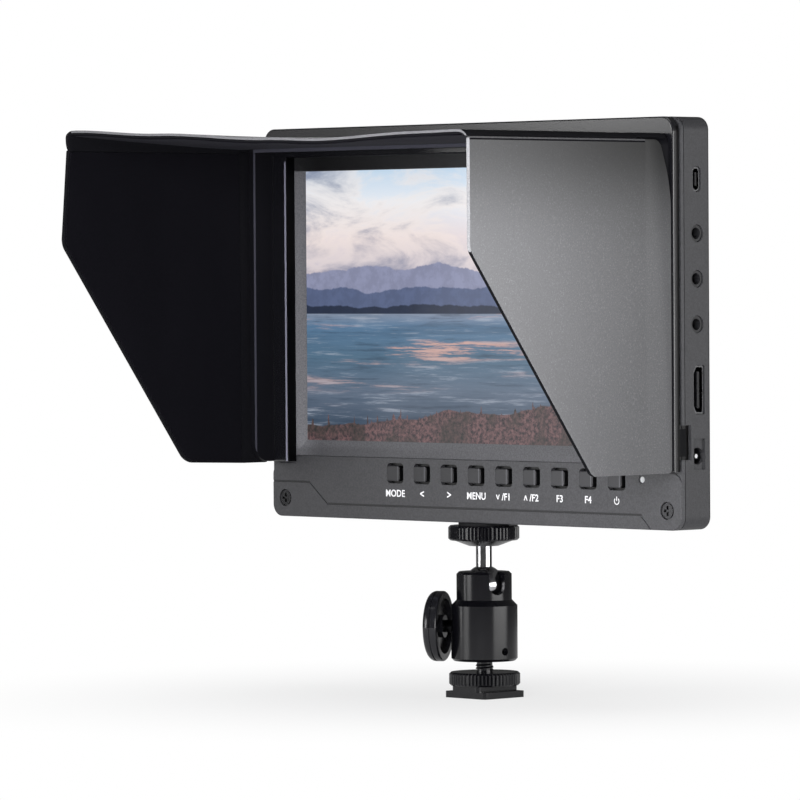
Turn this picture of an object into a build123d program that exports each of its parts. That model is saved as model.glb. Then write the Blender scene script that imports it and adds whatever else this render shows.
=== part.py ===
from build123d import *
import os
from math import cos, radians, sin, tan

# Camera field monitor with a folding sun hood, on a small ball head with a shoe foot.
# Millimetres. Origin: centre of the shoe foot's underside. The screen faces -Y, +Z is up.

# ------------------------------------------------------------------ clearances
contact_gap = 0.05        # between flat faces that rest on each other
press_gap = 0.02          # radial, pieces pressed or glued into a bore
running_gap = 0.06        # radial, shafts and threads that turn in a bore
ball_gap = 0.10           # between the ball and its socket
fold_gap = 0.05           # each side of a crease in the hood

# ------------------------------------------------------------------ ball head
foot_width = 18.6
foot_length = 18.0
foot_thickness = 2.0
foot_corner_r = 1.5
neck_width = 12.3
neck_height = 1.75
stud_r = 2.5
stud_length = 13.2        # above the neck
stud_chamfer = 0.5

disc_r = 11.25            # both knurled lock discs
disc_chamfer = 0.6
knurl_count = 56
knurl_depth = 0.45
lock_ring_height = 4.25

socket_bottom = 11.6
socket_r = 10.5
socket_body_height = 17.5
socket_shoulder = 1.8     # height of the cone between the two diameters
socket_neck_r = 8.75
socket_neck_height = 8.9
socket_chamfer = 0.8
stud_bore_depth = 5.6

ball_r = 6.4
ball_below_mouth = 4.4    # the ball's centre under the socket's top face
slot_azimuth = 75.0       # degrees from -Y towards +X
slot_clearance = 0.3      # each side of the stem
stem_r = 2.5
stem_length = 12.5        # ball centre to the start of the thread
stem_thread_r = 3.1
thread_in_monitor = 4.6
seat_r = 5.5
seat_height = 7.0
seat_cavity_gap = 0.15

knob_azimuth = -59.5
knob_height = 22.3        # the lock screw's axis above the foot
knob_r = 11.15
knob_inner = 12.9         # the knob's inner face from the ball head's axis
knob_thickness = 4.8
knob_dome_r = 2.2
knob_edge_r = 0.7
knob_recess_r = 8.8
knob_recess_depth = 1.7
knob_hub_r = 3.6
knob_groove = 0.4
knob_screw_r = 2.0
knob_screw_tip = 2.9      # the screw's tip from the ball head's axis
knob_screw_embed = 3.2    # the screw's length inside the knob
knob_screw_cone = 1.2

grub_azimuth = 84.0
grub_height = 14.8
grub_r = 1.2
grub_hex_r = 0.7
grub_hex_depth = 1.5

upper_disc_height = 4.7
upper_cone_height = 1.8
upper_cone_top_r = 9.6
upper_cone_bottom_r = 4.8
pad_r = 8.0
pad_thickness = 0.8

# ------------------------------------------------------------------ screen and monitor body
screen_width = 154.9      # lit area of a 7 inch 16:9 panel
screen_height = 87.1
screen_bottom = 25.0      # the lit area above the body's bottom
side_margin = 15.05       # lit area to the body's sides
top_margin = 13.9         # lit area to the body's top
body_width = screen_width + 2 * side_margin
body_height = screen_bottom + screen_height + top_margin
half_width = body_width / 2
body_corner_r = 4.0
front_y = -6.1            # the lower bezel's face
bezel_side = 1.7          # depth of the bezel's side, front face to the parting line
parting_gap = 0.3
band_depth = 13.45        # front face to the back edge of the side band
back_edge_r = 1.2
wall = 2.0
plateau_inset_x = 15.0
plateau_inset_bottom = 12.0
plateau_inset_top = 9.0
plateau_rise = 6.2
plateau_taper = 38.0
plateau_corner_r = 7.0

bezel_step = 0.5          # the upper bezel lies this far behind the lower bezel's face
lower_bezel_gap = 0.4     # between the lower bezel's raised ends and the hood
lower_bezel_corner_r = 4.0
raised_gap = 0.3          # between the lower bezel's raised middle and the hood's flange
raised_land = 0.2         # between the raised middle and the bevelled surround
bezel_edge_r = 0.35
lip_thickness = 1.2
lip_depth = 1.8
lip_gap = 0.15
lip_break = 1.0           # the lip stops this far from the tripod insert's block

surround_width = 4.8
surround_slope = 1.15     # depth of the bevelled surround
panel_margin = 3.0
panel_thickness = 1.3
backlight_thickness = 1.2
tray_wall = 0.5
tray_fit = 0.15

groove_width = 0.7
groove_depth = 0.35
groove_left_z = 11.4
groove_low_z = 4.5
groove_left_x = 17.8 - half_width
groove_left_low_x = 26.4 - half_width
groove_right_x = half_width - 17.1
groove_right_low_x = half_width - 12.1

led_x = half_width - 16.7
led_z = 15.3
led_ring_r = 1.4
led_ring_depth = 0.3
led_lens_r = 0.9

key_count = 9
key_pitch = 12.4
last_key_to_led = 10.8
key_first_x = led_x - last_key_to_led - (key_count - 1) * key_pitch
key_z = 15.0
key_window_w = 7.5
key_window_h = 6.5
key_window_r = 1.3
key_gap = 0.8             # between a key and its window
key_cap_r = 0.9
key_proud = 1.0
key_flange = 0.4          # the key's rim stands this far past its window, behind the bezel
key_flange_thickness = 0.7
key_stem_r = 1.3
key_travel = 0.30
key_slack = 0.06          # left between key and switch at full travel
key_plunger = 0.35

switch_size = 4.5
switch_height = 1.4
switch_button_r = 0.9
switch_button_height = 0.5
key_board_thickness = 1.2
key_board_margin = 4.6
key_board_height = 10.6
key_post_r = 1.1
key_post_offset = 0.7     # the left post, outside the first key's window

front_screw_x = half_width - 6.0
front_screw_z = 6.0
screw_head_r = 2.3
screw_head_gap = 0.5
screw_head_height = 0.8
screw_recess_depth = 1.0
screw_shank_r = 1.2
screw_cross = 3.0
screw_cross_width = 0.8
screw_cross_depth = 0.5
screw_shank_length = 6.5
boss_r = 2.6
rear_screw_z_low = 0.4365 * body_height
rear_screw_z_high = body_height - 6.0

# ------------------------------------------------------------------ sockets on the right side
port_depth_y = 7.5        # socket centres behind the lower bezel's face
port_reach = 10.0         # how far a socket goes into the body
port_fit = 0.15
port_sink = 0.5           # the socket mouths lie this far inside the side face
usb_z = 0.849 * body_height
usb_height = 7.5
usb_width = 3.4
usb_edge = 1.6
usb_shell = 0.5
usb_tongue = 0.7
jack_z = [share * body_height for share in (0.718, 0.608, 0.498)]
jack_face_r = 2.7
jack_hole_r = 1.78
jack_depth = 8.5
jack_body = 6.2
hdmi_z = 0.34 * body_height
hdmi_depth_y = 8.1        # its centre behind the lower bezel's face
hdmi_height = 14.7
hdmi_width = 4.6
hdmi_edge = 0.6
hdmi_cut_width = 1.1      # the forward corners are cut off
hdmi_cut_height = 1.8
hdmi_shell = 0.45
hdmi_tongue = 1.0
dc_depth_y = 8.1
dc_z = 22.6
dc_recess_bottom = 18.4
dc_recess_top = 27.9
dc_recess_width = 4.9
dc_recess_sink = 0.9
dc_hole_r = 2.6
dc_pin_r = 0.85
dc_depth = 8.0
dc_body_height = 9.0
dc_body_width = 6.2
board_thickness = 1.2
board_left = 18.5 - half_width
board_bottom = 22.5
board_top = body_height - 9.0
board_right_gap = 2.0     # between the board's edge and the socket openings' wall
board_post_r = 3.0
board_post_left = 6.0     # posts in from the board's edges
board_post_right = 14.0
board_post_end = 5.5
board_screw_r = 1.0
board_screw_head_r = 1.8

insert_r = 4.0
insert_height = 7.6
insert_boss = 2.0

# ------------------------------------------------------------------ battery plate
plate_width = 40.0
plate_height = 66.0
plate_bottom = 31.0
plate_thickness = 4.9
plate_corner_r = 2.5
plate_chamfer = 0.6
rail_slot_width = 3.2
rail_slot_height = 14.0
rail_slot_depth = 3.0
rail_slot_x = 15.5
rail_slot_pitch = 30.0
rail_slot_first = 18.0    # middle of the lower slots above the plate's bottom
rail_mouth_height = 8.0
rail_mouth_width = 4.8
contact_pitch = 8.4
contact_well_w = 24.0
contact_well_h = 9.0
contact_well_depth = 3.0
contact_from_bottom = 8.5
contact_w = 1.1
contact_h = 6.4
contact_tall = 2.4
latch_w = 9.0
latch_h = 6.0
latch_from_top = 6.5
latch_proud = 1.6
latch_travel = 2.0
latch_fit = 0.15
latch_edge_r = 0.6
vent_count = 9
vent_width = 1.8
vent_height = 13.0
vent_pitch = 4.0
vent_x = 45.0
vent_z = plate_bottom + 0.8 * plate_height

# ------------------------------------------------------------------ sun hood
flange_front = 3.0        # the flange's face in front of the lower bezel's face
flange_outer_r = 4.5
flange_inner_x = half_width - 10.9
flange_inner_z = body_height - 9.4
flange_edge_r = 0.5
flange_rebate = 1.1       # groove all round the back of the flange's outer edge
hood_bottom = 18.0
collar_reach = 11.3       # the collar's front edge in front of the lower bezel's face
collar_inner_x = half_width - 4.1
collar_wall = 2.8
collar_top_z = body_height - 7.7     # underside of the collar's top wall
collar_top_wall = 1.8
collar_corner_r = 3.0
collar_bottom_r = 6.0
tab_bottom = 22.6
tab_top = 31.0
tab_reach = 2.4           # behind the lower bezel's face
tab_root = 1.5            # the tab starts this far in front of the lower bezel's face
tab_thickness = 1.1
tab_inset = 0.25
notch_clear_z = 1.1
notch_back = 4.5
notch_depth = 1.5

skin_thickness = 0.8      # outer leather cloth of the hood
board_inside = 0.6        # stiffener under the cloth
lining_thickness = 0.5
lining_inset = 1.2
lining_from_crease = 1.4
skin_rear = 3.3           # the cloth's rear edge in front of the lower bezel's face
skin_taper_length = 14.4  # the rear edge slants forwards over this height, up to its top
skin_taper_reach = 8.0
wing_crease = 14.3
flap_crease = 17.0
wing_bottom = 17.6        # just below the collar's ends
wing_top = collar_top_z + 0.1
wing_front = 91.2
wing_front_low = wing_top - 32.9     # lower end of the wing's upright front edge
wing_foot = 38.4          # the slanted edge meets the bottom edge here
wing_r_top = 3.0
wing_r_mid = 2.0
wing_r_foot = 2.5
right_splay = 1.6
left_splay = -0.6
flap_half_width = collar_inner_x
flap_front = 88.8
flap_rise = 0.6           # degrees
flap_corner_r = 3.0

# ------------------------------------------------------------------ derived places
neck_top = foot_thickness + neck_height
lock_ring_z = neck_top + contact_gap
socket_shoulder_z = socket_bottom + socket_body_height
socket_neck_z = socket_shoulder_z + socket_shoulder
socket_top = socket_neck_z + socket_neck_height
ball_z = socket_top - ball_below_mouth
thread_z = ball_z + stem_length
upper_disc_z = thread_z + upper_cone_height
pad_z = upper_disc_z + upper_disc_height
pad_top = pad_z + pad_thickness
monitor_z = pad_top + contact_gap
cover_back = band_depth + plateau_rise
panel_front = bezel_side + contact_gap
panel_back = panel_front + panel_thickness
backlight_back = panel_back + contact_gap + backlight_thickness
tray_back = backlight_back + contact_gap + tray_wall
panel_width = screen_width + 2 * panel_margin
panel_height = screen_height + 2 * panel_margin
screen_mid_z = screen_bottom + screen_height / 2
key_x = [key_first_x + i * key_pitch for i in range(key_count)]
key_back = bezel_side + contact_gap + key_flange_thickness + key_plunger
switch_top = key_back + key_travel + key_slack
key_board_front = switch_top + switch_button_height + switch_height
board_front = port_depth_y - board_thickness / 2
board_back = port_depth_y + board_thickness / 2
lower_bezel_top = hood_bottom - lower_bezel_gap
raised_top = screen_bottom - surround_width - raised_land
collar_outer_x = collar_inner_x + collar_wall
collar_outer_z = collar_top_z + collar_top_wall

front = Plane(origin=(0, front_y, monitor_z), x_dir=(1, 0, 0), z_dir=(0, -1, 0))
side = Plane(origin=(half_width, front_y, monitor_z), x_dir=(0, 1, 0), z_dir=(1, 0, 0))
base = Plane(origin=(0, 0, monitor_z), x_dir=(1, 0, 0), z_dir=(0, 0, 1))


def behind(depth):
    """The plane a given depth behind the lower bezel's face, seen from the front."""
    return front.offset(-depth)


def radial(azimuth, height, distance=0.0):
    """A plane facing away from the ball head's axis, at an azimuth from -Y towards +X."""
    a = radians(azimuth)
    out = Vector(sin(a), -cos(a), 0)
    return Plane(origin=out * distance + Vector(0, 0, height), x_dir=(cos(a), sin(a), 0), z_dir=out)


os.makedirs("parts", exist_ok=True)


def keep(builder, name):
    """Label a finished piece and write its STEP file."""
    builder.part.label = name
    export_step(builder.part, "parts/" + name + ".step")


# ================================================================== ball head
with BuildPart() as shoe_foot:
    with BuildSketch(Plane.XY):
        RectangleRounded(foot_width, foot_length, foot_corner_r)
    extrude(amount=foot_thickness)
    with BuildSketch(Plane.XY.offset(foot_thickness)):
        RectangleRounded(neck_width, foot_length, foot_corner_r)
    extrude(amount=neck_height)
    with BuildSketch(Plane.XY.offset(neck_top)):
        Circle(stud_r)
    extrude(amount=stud_length)
    chamfer(shoe_foot.faces().sort_by(Axis.Z)[-1].edges(), stud_chamfer)
keep(shoe_foot, "shoe_foot")

with BuildPart() as shoe_lock_ring:
    with BuildSketch(Plane.XY.offset(lock_ring_z)):
        Circle(disc_r)
    extrude(amount=lock_ring_height)
    chamfer(shoe_lock_ring.edges().filter_by(GeomType.CIRCLE), disc_chamfer)
    with BuildSketch(Plane.XY.offset(lock_ring_z)):
        with PolarLocations(disc_r, knurl_count):
            RegularPolygon(knurl_depth, 4)
        Circle(stud_r + running_gap)
    extrude(amount=lock_ring_height, mode=Mode.SUBTRACT)
keep(shoe_lock_ring, "shoe_lock_ring")

with BuildPart() as ball_socket:
    with BuildSketch(Plane.XZ):
        with BuildLine():
            Polyline(
                (0, socket_bottom),
                (socket_r - socket_chamfer, socket_bottom),
                (socket_r, socket_bottom + socket_chamfer),
                (socket_r, socket_shoulder_z),
                (socket_neck_r, socket_neck_z),
                (socket_neck_r, socket_top - socket_chamfer),
                (socket_neck_r - socket_chamfer, socket_top),
                (0, socket_top),
                close=True,
            )
        make_face()
    revolve(axis=Axis.Z)
    with Locations((0, 0, ball_z)):
        Sphere(ball_r + ball_gap, mode=Mode.SUBTRACT)
    with BuildSketch(Plane.XY.offset(ball_z)):
        Circle(seat_r + seat_cavity_gap)
    extrude(amount=-(ball_z - socket_bottom - stud_bore_depth - wall), mode=Mode.SUBTRACT)
    with BuildSketch(Plane.XY.offset(socket_bottom)):
        Circle(stud_r + running_gap)
    extrude(amount=stud_bore_depth, mode=Mode.SUBTRACT)
    with BuildSketch(radial(slot_azimuth, ball_z)):
        Circle(stem_r + slot_clearance)
        with Locations((0, ball_below_mouth)):
            Rectangle(2 * (stem_r + slot_clearance), 2 * ball_below_mouth)
    extrude(amount=socket_r, mode=Mode.SUBTRACT)
    with BuildSketch(radial(knob_azimuth, knob_height)):
        Circle(knob_screw_r + running_gap)
    extrude(amount=socket_r, mode=Mode.SUBTRACT)
    with BuildSketch(radial(grub_azimuth, grub_height)):
        Circle(grub_r + press_gap)
    extrude(amount=socket_r, mode=Mode.SUBTRACT)
keep(ball_socket, "ball_socket")

with BuildPart() as ball_seat:
    with BuildSketch(Plane.XY.offset(knob_height + knob_screw_r + running_gap)):
        Circle(seat_r)
    extrude(amount=seat_height)
    with Locations((0, 0, ball_z)):
        Sphere(ball_r + ball_gap, mode=Mode.SUBTRACT)
keep(ball_seat, "ball_seat")

with BuildPart() as grub_screw:
    with BuildSketch(radial(grub_azimuth, grub_height, stud_r + contact_gap)):
        Circle(grub_r)
    extrude(amount=socket_r - stud_r - 2 * socket_chamfer)
    with BuildSketch(radial(grub_azimuth, grub_height, socket_r - 2 * socket_chamfer + contact_gap)):
        RegularPolygon(grub_hex_r, 6)
    extrude(amount=-grub_hex_depth, mode=Mode.SUBTRACT)
keep(grub_screw, "grub_screw")

knob_face = radial(knob_azimuth, knob_height, knob_inner)
with BuildPart() as lock_knob:
    with BuildSketch(knob_face):
        Circle(knob_r)
    extrude(amount=knob_thickness)
    rims = lock_knob.edges().filter_by(GeomType.CIRCLE).sort_by(Axis(knob_face.origin, knob_face.z_dir))
    fillet(rims[-1], knob_dome_r)
    fillet(rims[0], knob_edge_r)
    with BuildSketch(knob_face):
        Circle(knob_recess_r)
        Circle(knob_hub_r, mode=Mode.SUBTRACT)
    extrude(amount=knob_recess_depth, mode=Mode.SUBTRACT)
    with BuildSketch(knob_face.offset(knob_thickness / 2 - knob_groove)):
        Circle(knob_r + knob_groove)
        Circle(knob_r - knob_groove, mode=Mode.SUBTRACT)
    extrude(amount=knob_groove, mode=Mode.SUBTRACT)
    with BuildSketch(knob_face):
        Circle(knob_screw_r + press_gap)
    extrude(amount=knob_screw_embed, mode=Mode.SUBTRACT)
keep(lock_knob, "lock_knob")

with BuildPart() as knob_screw:
    with BuildSketch(radial(knob_azimuth, knob_height, knob_screw_tip)):
        Circle(knob_screw_r)
    extrude(amount=knob_inner + knob_screw_embed - knob_screw_tip)
    screw_line = Axis((0, 0, knob_height), knob_face.z_dir)
    chamfer(knob_screw.edges().filter_by(GeomType.CIRCLE).sort_by(screw_line)[0], knob_screw_cone)
keep(knob_screw, "knob_screw")

with BuildPart() as ball_stem:
    with Locations((0, 0, ball_z)):
        Sphere(ball_r)
    with BuildSketch(Plane.XY.offset(ball_z)):
        Circle(stem_r)
    extrude(amount=stem_length)
    with BuildSketch(Plane.XY.offset(thread_z)):
        Circle(stem_thread_r)
    extrude(amount=monitor_z + thread_in_monitor - thread_z)
    chamfer(ball_stem.faces().sort_by(Axis.Z)[-1].edges(), stud_chamfer)
keep(ball_stem, "ball_stem")

with BuildPart() as upper_lock_disc:
    with BuildSketch(Plane.XY.offset(upper_disc_z)):
        Circle(disc_r)
    extrude(amount=upper_disc_height)
    chamfer(upper_lock_disc.edges().filter_by(GeomType.CIRCLE), disc_chamfer)
    with BuildSketch(Plane.XY.offset(upper_disc_z)):
        with PolarLocations(disc_r, knurl_count):
            RegularPolygon(knurl_depth, 4)
    extrude(amount=upper_disc_height, mode=Mode.SUBTRACT)
    with BuildSketch(Plane.XZ):
        with BuildLine():
            Polyline(
                (0, thread_z),
                (upper_cone_bottom_r, thread_z),
                (upper_cone_top_r, upper_disc_z),
                (0, upper_disc_z),
                close=True,
            )
        make_face()
    revolve(axis=Axis.Z)
    with BuildSketch(Plane.XY.offset(thread_z)):
        Circle(stem_thread_r + running_gap)
    extrude(amount=pad_z - thread_z, mode=Mode.SUBTRACT)
keep(upper_lock_disc, "upper_lock_disc")

with BuildPart() as rubber_pad:
    with BuildSketch(Plane.XY.offset(pad_z)):
        Circle(pad_r)
        Circle(stem_thread_r + 2 * running_gap, mode=Mode.SUBTRACT)
    extrude(amount=pad_thickness)
keep(rubber_pad, "rubber_pad")

# ================================================================== monitor body
tray_width = panel_width + 2 * (tray_fit + tray_wall)
tray_height = panel_height + 2 * (tray_fit + tray_wall)
cover_front = bezel_side + parting_gap
plateau_width = body_width - 2 * plateau_inset_x
plateau_height = body_height - plateau_inset_bottom - plateau_inset_top
plateau_mid_z = plateau_inset_bottom + plateau_height / 2
plateau_slope = plateau_rise * tan(radians(plateau_taper))
front_screws = [(-front_screw_x, front_screw_z), (front_screw_x, front_screw_z)]
rear_screws_at = [
    (x, z) for x in (-front_screw_x, front_screw_x) for z in (rear_screw_z_low, rear_screw_z_high)
]
key_places = [(x, key_z) for x in key_x]
led_place = (led_x, led_z)
board_right = half_width - wall - port_sink - board_right_gap
board_posts = [
    (x, z)
    for x in (board_left + board_post_left, board_right - board_post_right)
    for z in (board_bottom + board_post_end, board_top - board_post_end)
]
key_board_posts = [
    (key_x[0] - key_pitch / 2 - key_post_offset, key_z),
    ((key_x[-1] + led_x) / 2, key_z),
]
notch_mid_z = (tab_bottom + tab_top) / 2
notch_height = tab_top - tab_bottom + 2 * notch_clear_z


def rear(depth):
    """The plane a given depth behind the lower bezel's face, seen from the back."""
    origin = (0, front_y + depth, monitor_z)
    return Plane(origin=origin, x_dir=(-1, 0, 0), z_dir=(0, 1, 0))


def body_outline(shrink=0.0):
    """The body's rounded outline, centred in a sketch whose origin is the bottom middle."""
    with Locations((0, body_height / 2)):
        corner = max(body_corner_r - shrink, body_corner_r / 4)
        RectangleRounded(body_width - 2 * shrink, body_height - 2 * shrink, corner)


def window(width, height, middle_z):
    """A rectangle centred on the body's middle line."""
    with Locations((0, middle_z)):
        Rectangle(width, height)


def hdmi_shape(grow=0.0):
    """The HDMI socket's outline, its forward corners cut off."""
    near, far = hdmi_depth_y - hdmi_width / 2 - grow, hdmi_depth_y + hdmi_width / 2 + grow
    low, high = hdmi_z - hdmi_height / 2 - grow, hdmi_z + hdmi_height / 2 + grow
    with BuildSketch(mode=Mode.PRIVATE) as outline:
        with BuildLine():
            Polyline(
                (far, low),
                (far, high),
                (near + hdmi_cut_width, high),
                (near, high - hdmi_cut_height),
                (near, low + hdmi_cut_height),
                (near + hdmi_cut_width, low),
                close=True,
            )
        make_face()
        fillet(outline.vertices(), hdmi_edge)
    add(outline.sketch)


with BuildPart() as rear_cover:
    with BuildSketch(rear(cover_front)):
        body_outline()
    extrude(amount=band_depth - cover_front)
    fillet(rear_cover.faces().sort_by(Axis.Y)[-1].edges(), back_edge_r)
    with BuildSketch(rear(band_depth)):
        with Locations((0, plateau_mid_z)):
            RectangleRounded(plateau_width, plateau_height, plateau_corner_r)
    extrude(amount=plateau_rise, taper=plateau_taper)
    with BuildSketch(rear(cover_front)):
        body_outline(wall)
    extrude(amount=band_depth - cover_front - wall, mode=Mode.SUBTRACT)
    with BuildSketch(rear(band_depth - wall)):
        window(
            plateau_width - 2 * (plateau_slope + wall),
            plateau_height - 2 * (plateau_slope + wall),
            plateau_mid_z,
        )
    extrude(amount=plateau_rise, mode=Mode.SUBTRACT)
    # bosses for the front screws and posts for the main board
    with BuildSketch(rear(cover_front)):
        with Locations(*front_screws):
            Circle(boss_r)
    extrude(amount=band_depth - cover_front - wall / 2)
    with BuildSketch(rear(board_back + contact_gap)):
        with Locations(*[(-x, z) for x, z in board_posts]):
            Circle(board_post_r)
    extrude(amount=cover_back - board_back - wall / 2)
    # block round the tripod insert
    with BuildSketch(base):
        with Locations((0, front_y + (cover_front + band_depth - wall / 2) / 2)):
            Rectangle(2 * (insert_r + insert_boss), band_depth - wall / 2 - cover_front)
    extrude(amount=insert_height)
    with BuildSketch(base):
        Circle(insert_r + press_gap)
    extrude(amount=insert_height, mode=Mode.SUBTRACT)
    # screw holes
    with BuildSketch(rear(cover_front)):
        with Locations(*front_screws):
            Circle(screw_shank_r + press_gap)
    extrude(amount=screw_shank_length, mode=Mode.SUBTRACT)
    with BuildSketch(rear(board_back)):
        with Locations(*[(-x, z) for x, z in board_posts]):
            Circle(board_screw_r + press_gap)
    extrude(amount=screw_shank_length, mode=Mode.SUBTRACT)
    with BuildSketch(rear(band_depth)):
        with Locations(*rear_screws_at):
            Circle(screw_shank_r + running_gap)
    extrude(amount=-wall, mode=Mode.SUBTRACT)
    with BuildSketch(rear(band_depth)):
        with Locations(*rear_screws_at):
            Circle(screw_head_r + screw_head_gap)
    extrude(amount=-screw_recess_depth, mode=Mode.SUBTRACT)
    # notches for the hood's tabs
    with BuildSketch(rear(cover_front)):
        for x in (-half_width, half_width):
            with Locations((x, notch_mid_z)):
                Rectangle(2 * notch_depth, notch_height)
    extrude(amount=notch_back - cover_front, mode=Mode.SUBTRACT)
    # openings for the sockets
    with BuildSketch(side):
        with Locations((port_depth_y, usb_z)):
            RectangleRounded(usb_width + 2 * port_fit, usb_height + 2 * port_fit, usb_edge)
        with Locations(*[(port_depth_y, z) for z in jack_z]):
            Circle(jack_face_r)
        hdmi_shape(port_fit)
        with Locations((dc_depth_y, dc_z)):
            Circle(dc_hole_r)
    extrude(amount=-2 * wall, mode=Mode.SUBTRACT)
    with BuildSketch(side):
        with Locations((dc_depth_y + running_gap, (dc_recess_bottom + dc_recess_top) / 2)):
            Rectangle(dc_recess_width, dc_recess_top - dc_recess_bottom)
    extrude(amount=-dc_recess_sink, mode=Mode.SUBTRACT)
    # vents in the plateau, either side of the battery
    with BuildSketch(rear(cover_back)):
        for x in (-vent_x, vent_x):
            with Locations((x, vent_z)):
                with GridLocations(vent_pitch, 0, vent_count, 1):
                    SlotOverall(vent_height, vent_width, rotation=90)
    extrude(amount=-1.5 * wall, mode=Mode.SUBTRACT)
keep(rear_cover, "rear_cover")

with BuildPart() as front_bezel:
    with BuildSketch(behind(bezel_side)):
        body_outline()
    extrude(amount=bezel_side - bezel_step)
    with BuildSketch(behind(bezel_step)) as raised:
        with Locations((0, lower_bezel_top / 2)):
            Rectangle(body_width, lower_bezel_top)
        fillet(raised.vertices().group_by(Axis.Y)[0], body_corner_r)
        fillet(raised.vertices().group_by(Axis.Y)[-1], lower_bezel_corner_r)
        with Locations((0, raised_top / 2)):
            Rectangle(2 * (flange_inner_x - raised_gap), raised_top)
    extrude(amount=bezel_step)
    fillet(front_bezel.faces().sort_by(Axis.Y)[0].edges(), bezel_edge_r)
    # bevelled surround, down to the lit area
    with BuildSketch(behind(bezel_step)):
        window(screen_width + 2 * surround_width, screen_height + 2 * surround_width, screen_mid_z)
    with BuildSketch(behind(bezel_step + surround_slope)):
        window(screen_width, screen_height, screen_mid_z)
    loft(mode=Mode.SUBTRACT)
    with BuildSketch(behind(bezel_side)):
        window(screen_width, screen_height, screen_mid_z)
    extrude(amount=bezel_side, mode=Mode.SUBTRACT)
    # lip that plugs into the rear cover, and posts behind the face
    with BuildSketch(rear(bezel_side)):
        body_outline(wall + lip_gap)
        with Locations((0, body_height / 2)):
            Rectangle(
                body_width - 2 * (wall + lip_gap + lip_thickness),
                body_height - 2 * (wall + lip_gap + lip_thickness),
                mode=Mode.SUBTRACT,
            )
        with Locations((0, 0)):
            Rectangle(2 * (insert_r + insert_boss + lip_break), body_height, mode=Mode.SUBTRACT)
    extrude(amount=lip_depth)
    with BuildSketch(rear(bezel_side)):
        with Locations(*rear_screws_at):
            Circle(boss_r)
    extrude(amount=band_depth - wall - bezel_side - contact_gap)
    with BuildSketch(rear(bezel_side)):
        with Locations(*[(-x, z) for x, z in key_board_posts]):
            Circle(key_post_r)
    extrude(amount=key_board_front - bezel_side - contact_gap)
    with BuildSketch(rear(band_depth - wall - contact_gap)):
        with Locations(*rear_screws_at):
            Circle(screw_shank_r + press_gap)
    extrude(amount=-screw_shank_length, mode=Mode.SUBTRACT)
    # key windows, light, front screws
    with BuildSketch(front):
        with Locations(*key_places):
            RectangleRounded(key_window_w, key_window_h, key_window_r)
        with Locations(led_place):
            Circle(led_lens_r + running_gap)
        with Locations(*front_screws):
            Circle(screw_shank_r + running_gap)
    extrude(amount=-bezel_side, mode=Mode.SUBTRACT)
    with BuildSketch(front):
        with Locations(*front_screws):
            Circle(screw_head_r + screw_head_gap)
    extrude(amount=-screw_recess_depth, mode=Mode.SUBTRACT)
    with BuildSketch(front):
        with Locations(led_place):
            Circle(led_ring_r)
    extrude(amount=-led_ring_depth, mode=Mode.SUBTRACT)
    # shallow styling groove along the lower bezel
    with BuildSketch(front):
        with BuildLine() as styling:
            Polyline(
                (-half_width - groove_width, groove_left_z),
                (groove_left_x, groove_left_z),
                (groove_left_low_x, groove_low_z),
                (groove_right_x, groove_low_z),
                (groove_right_low_x, -groove_width),
            )
        trace(line_width=groove_width)
    extrude(amount=-groove_depth, mode=Mode.SUBTRACT)
    # notches for the hood's tabs
    with BuildSketch(front):
        for x in (-half_width, half_width):
            with Locations((x, notch_mid_z)):
                Rectangle(2 * notch_depth, notch_height)
    extrude(amount=-bezel_side, mode=Mode.SUBTRACT)
keep(front_bezel, "front_bezel")

with BuildPart() as lcd_panel:
    with BuildSketch(rear(panel_front)):
        window(panel_width, panel_height, screen_mid_z)
    extrude(amount=panel_thickness)
keep(lcd_panel, "lcd_panel")

with BuildPart() as backlight_unit:
    with BuildSketch(rear(panel_back + contact_gap)):
        window(panel_width, panel_height, screen_mid_z)
    extrude(amount=backlight_thickness)
keep(backlight_unit, "backlight_unit")

with BuildPart() as lcd_chassis:
    with BuildSketch(rear(panel_front)):
        window(tray_width, tray_height, screen_mid_z)
    extrude(amount=tray_back - panel_front)
    with BuildSketch(rear(panel_front)):
        window(tray_width - 2 * tray_wall, tray_height - 2 * tray_wall, screen_mid_z)
    extrude(amount=tray_back - panel_front - tray_wall, mode=Mode.SUBTRACT)
keep(lcd_chassis, "lcd_chassis")

with BuildPart() as key_board:
    with BuildSketch(rear(key_board_front)) as key_board_outline:
        board_from = key_board_posts[0][0] - key_board_margin / 2
        board_to = led_x + key_board_margin
        with Locations((-(board_from + board_to) / 2, key_z)):
            Rectangle(board_to - board_from, key_board_height)
    extrude(amount=key_board_thickness)
keep(key_board, "key_board")

with BuildPart() as tact_switches:
    with BuildSketch(front.offset(-key_board_front + contact_gap)):
        with Locations(*key_places):
            Rectangle(switch_size, switch_size)
    extrude(amount=switch_height - contact_gap)
    with BuildSketch(front.offset(-key_board_front + switch_height)):
        with Locations(*key_places):
            Circle(switch_button_r)
    extrude(amount=switch_button_height)
keep(tact_switches, "tact_switches")

key_names = ("source", "left", "right", "menu", "down", "up", "three", "four", "power")
for key_name, (x, z) in zip(key_names, key_places):
    with BuildPart() as key:
        with BuildSketch(behind(bezel_side + contact_gap)):
            with Locations((x, z)):
                RectangleRounded(key_window_w - 2 * key_gap, key_window_h - 2 * key_gap, key_cap_r)
        extrude(amount=bezel_side + contact_gap + key_proud)
        fillet(key.faces().sort_by(Axis.Y)[0].edges(), bezel_edge_r)
        with BuildSketch(behind(bezel_side + contact_gap)):
            with Locations((x, z)):
                RectangleRounded(key_window_w + 2 * key_flange, key_window_h + 2 * key_flange, key_cap_r)
        extrude(amount=-key_flange_thickness)
        with BuildSketch(behind(bezel_side + contact_gap + key_flange_thickness)):
            with Locations((x, z)):
                Circle(key_stem_r)
        extrude(amount=-key_plunger)
    keep(key, "key_" + key_name)

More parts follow.
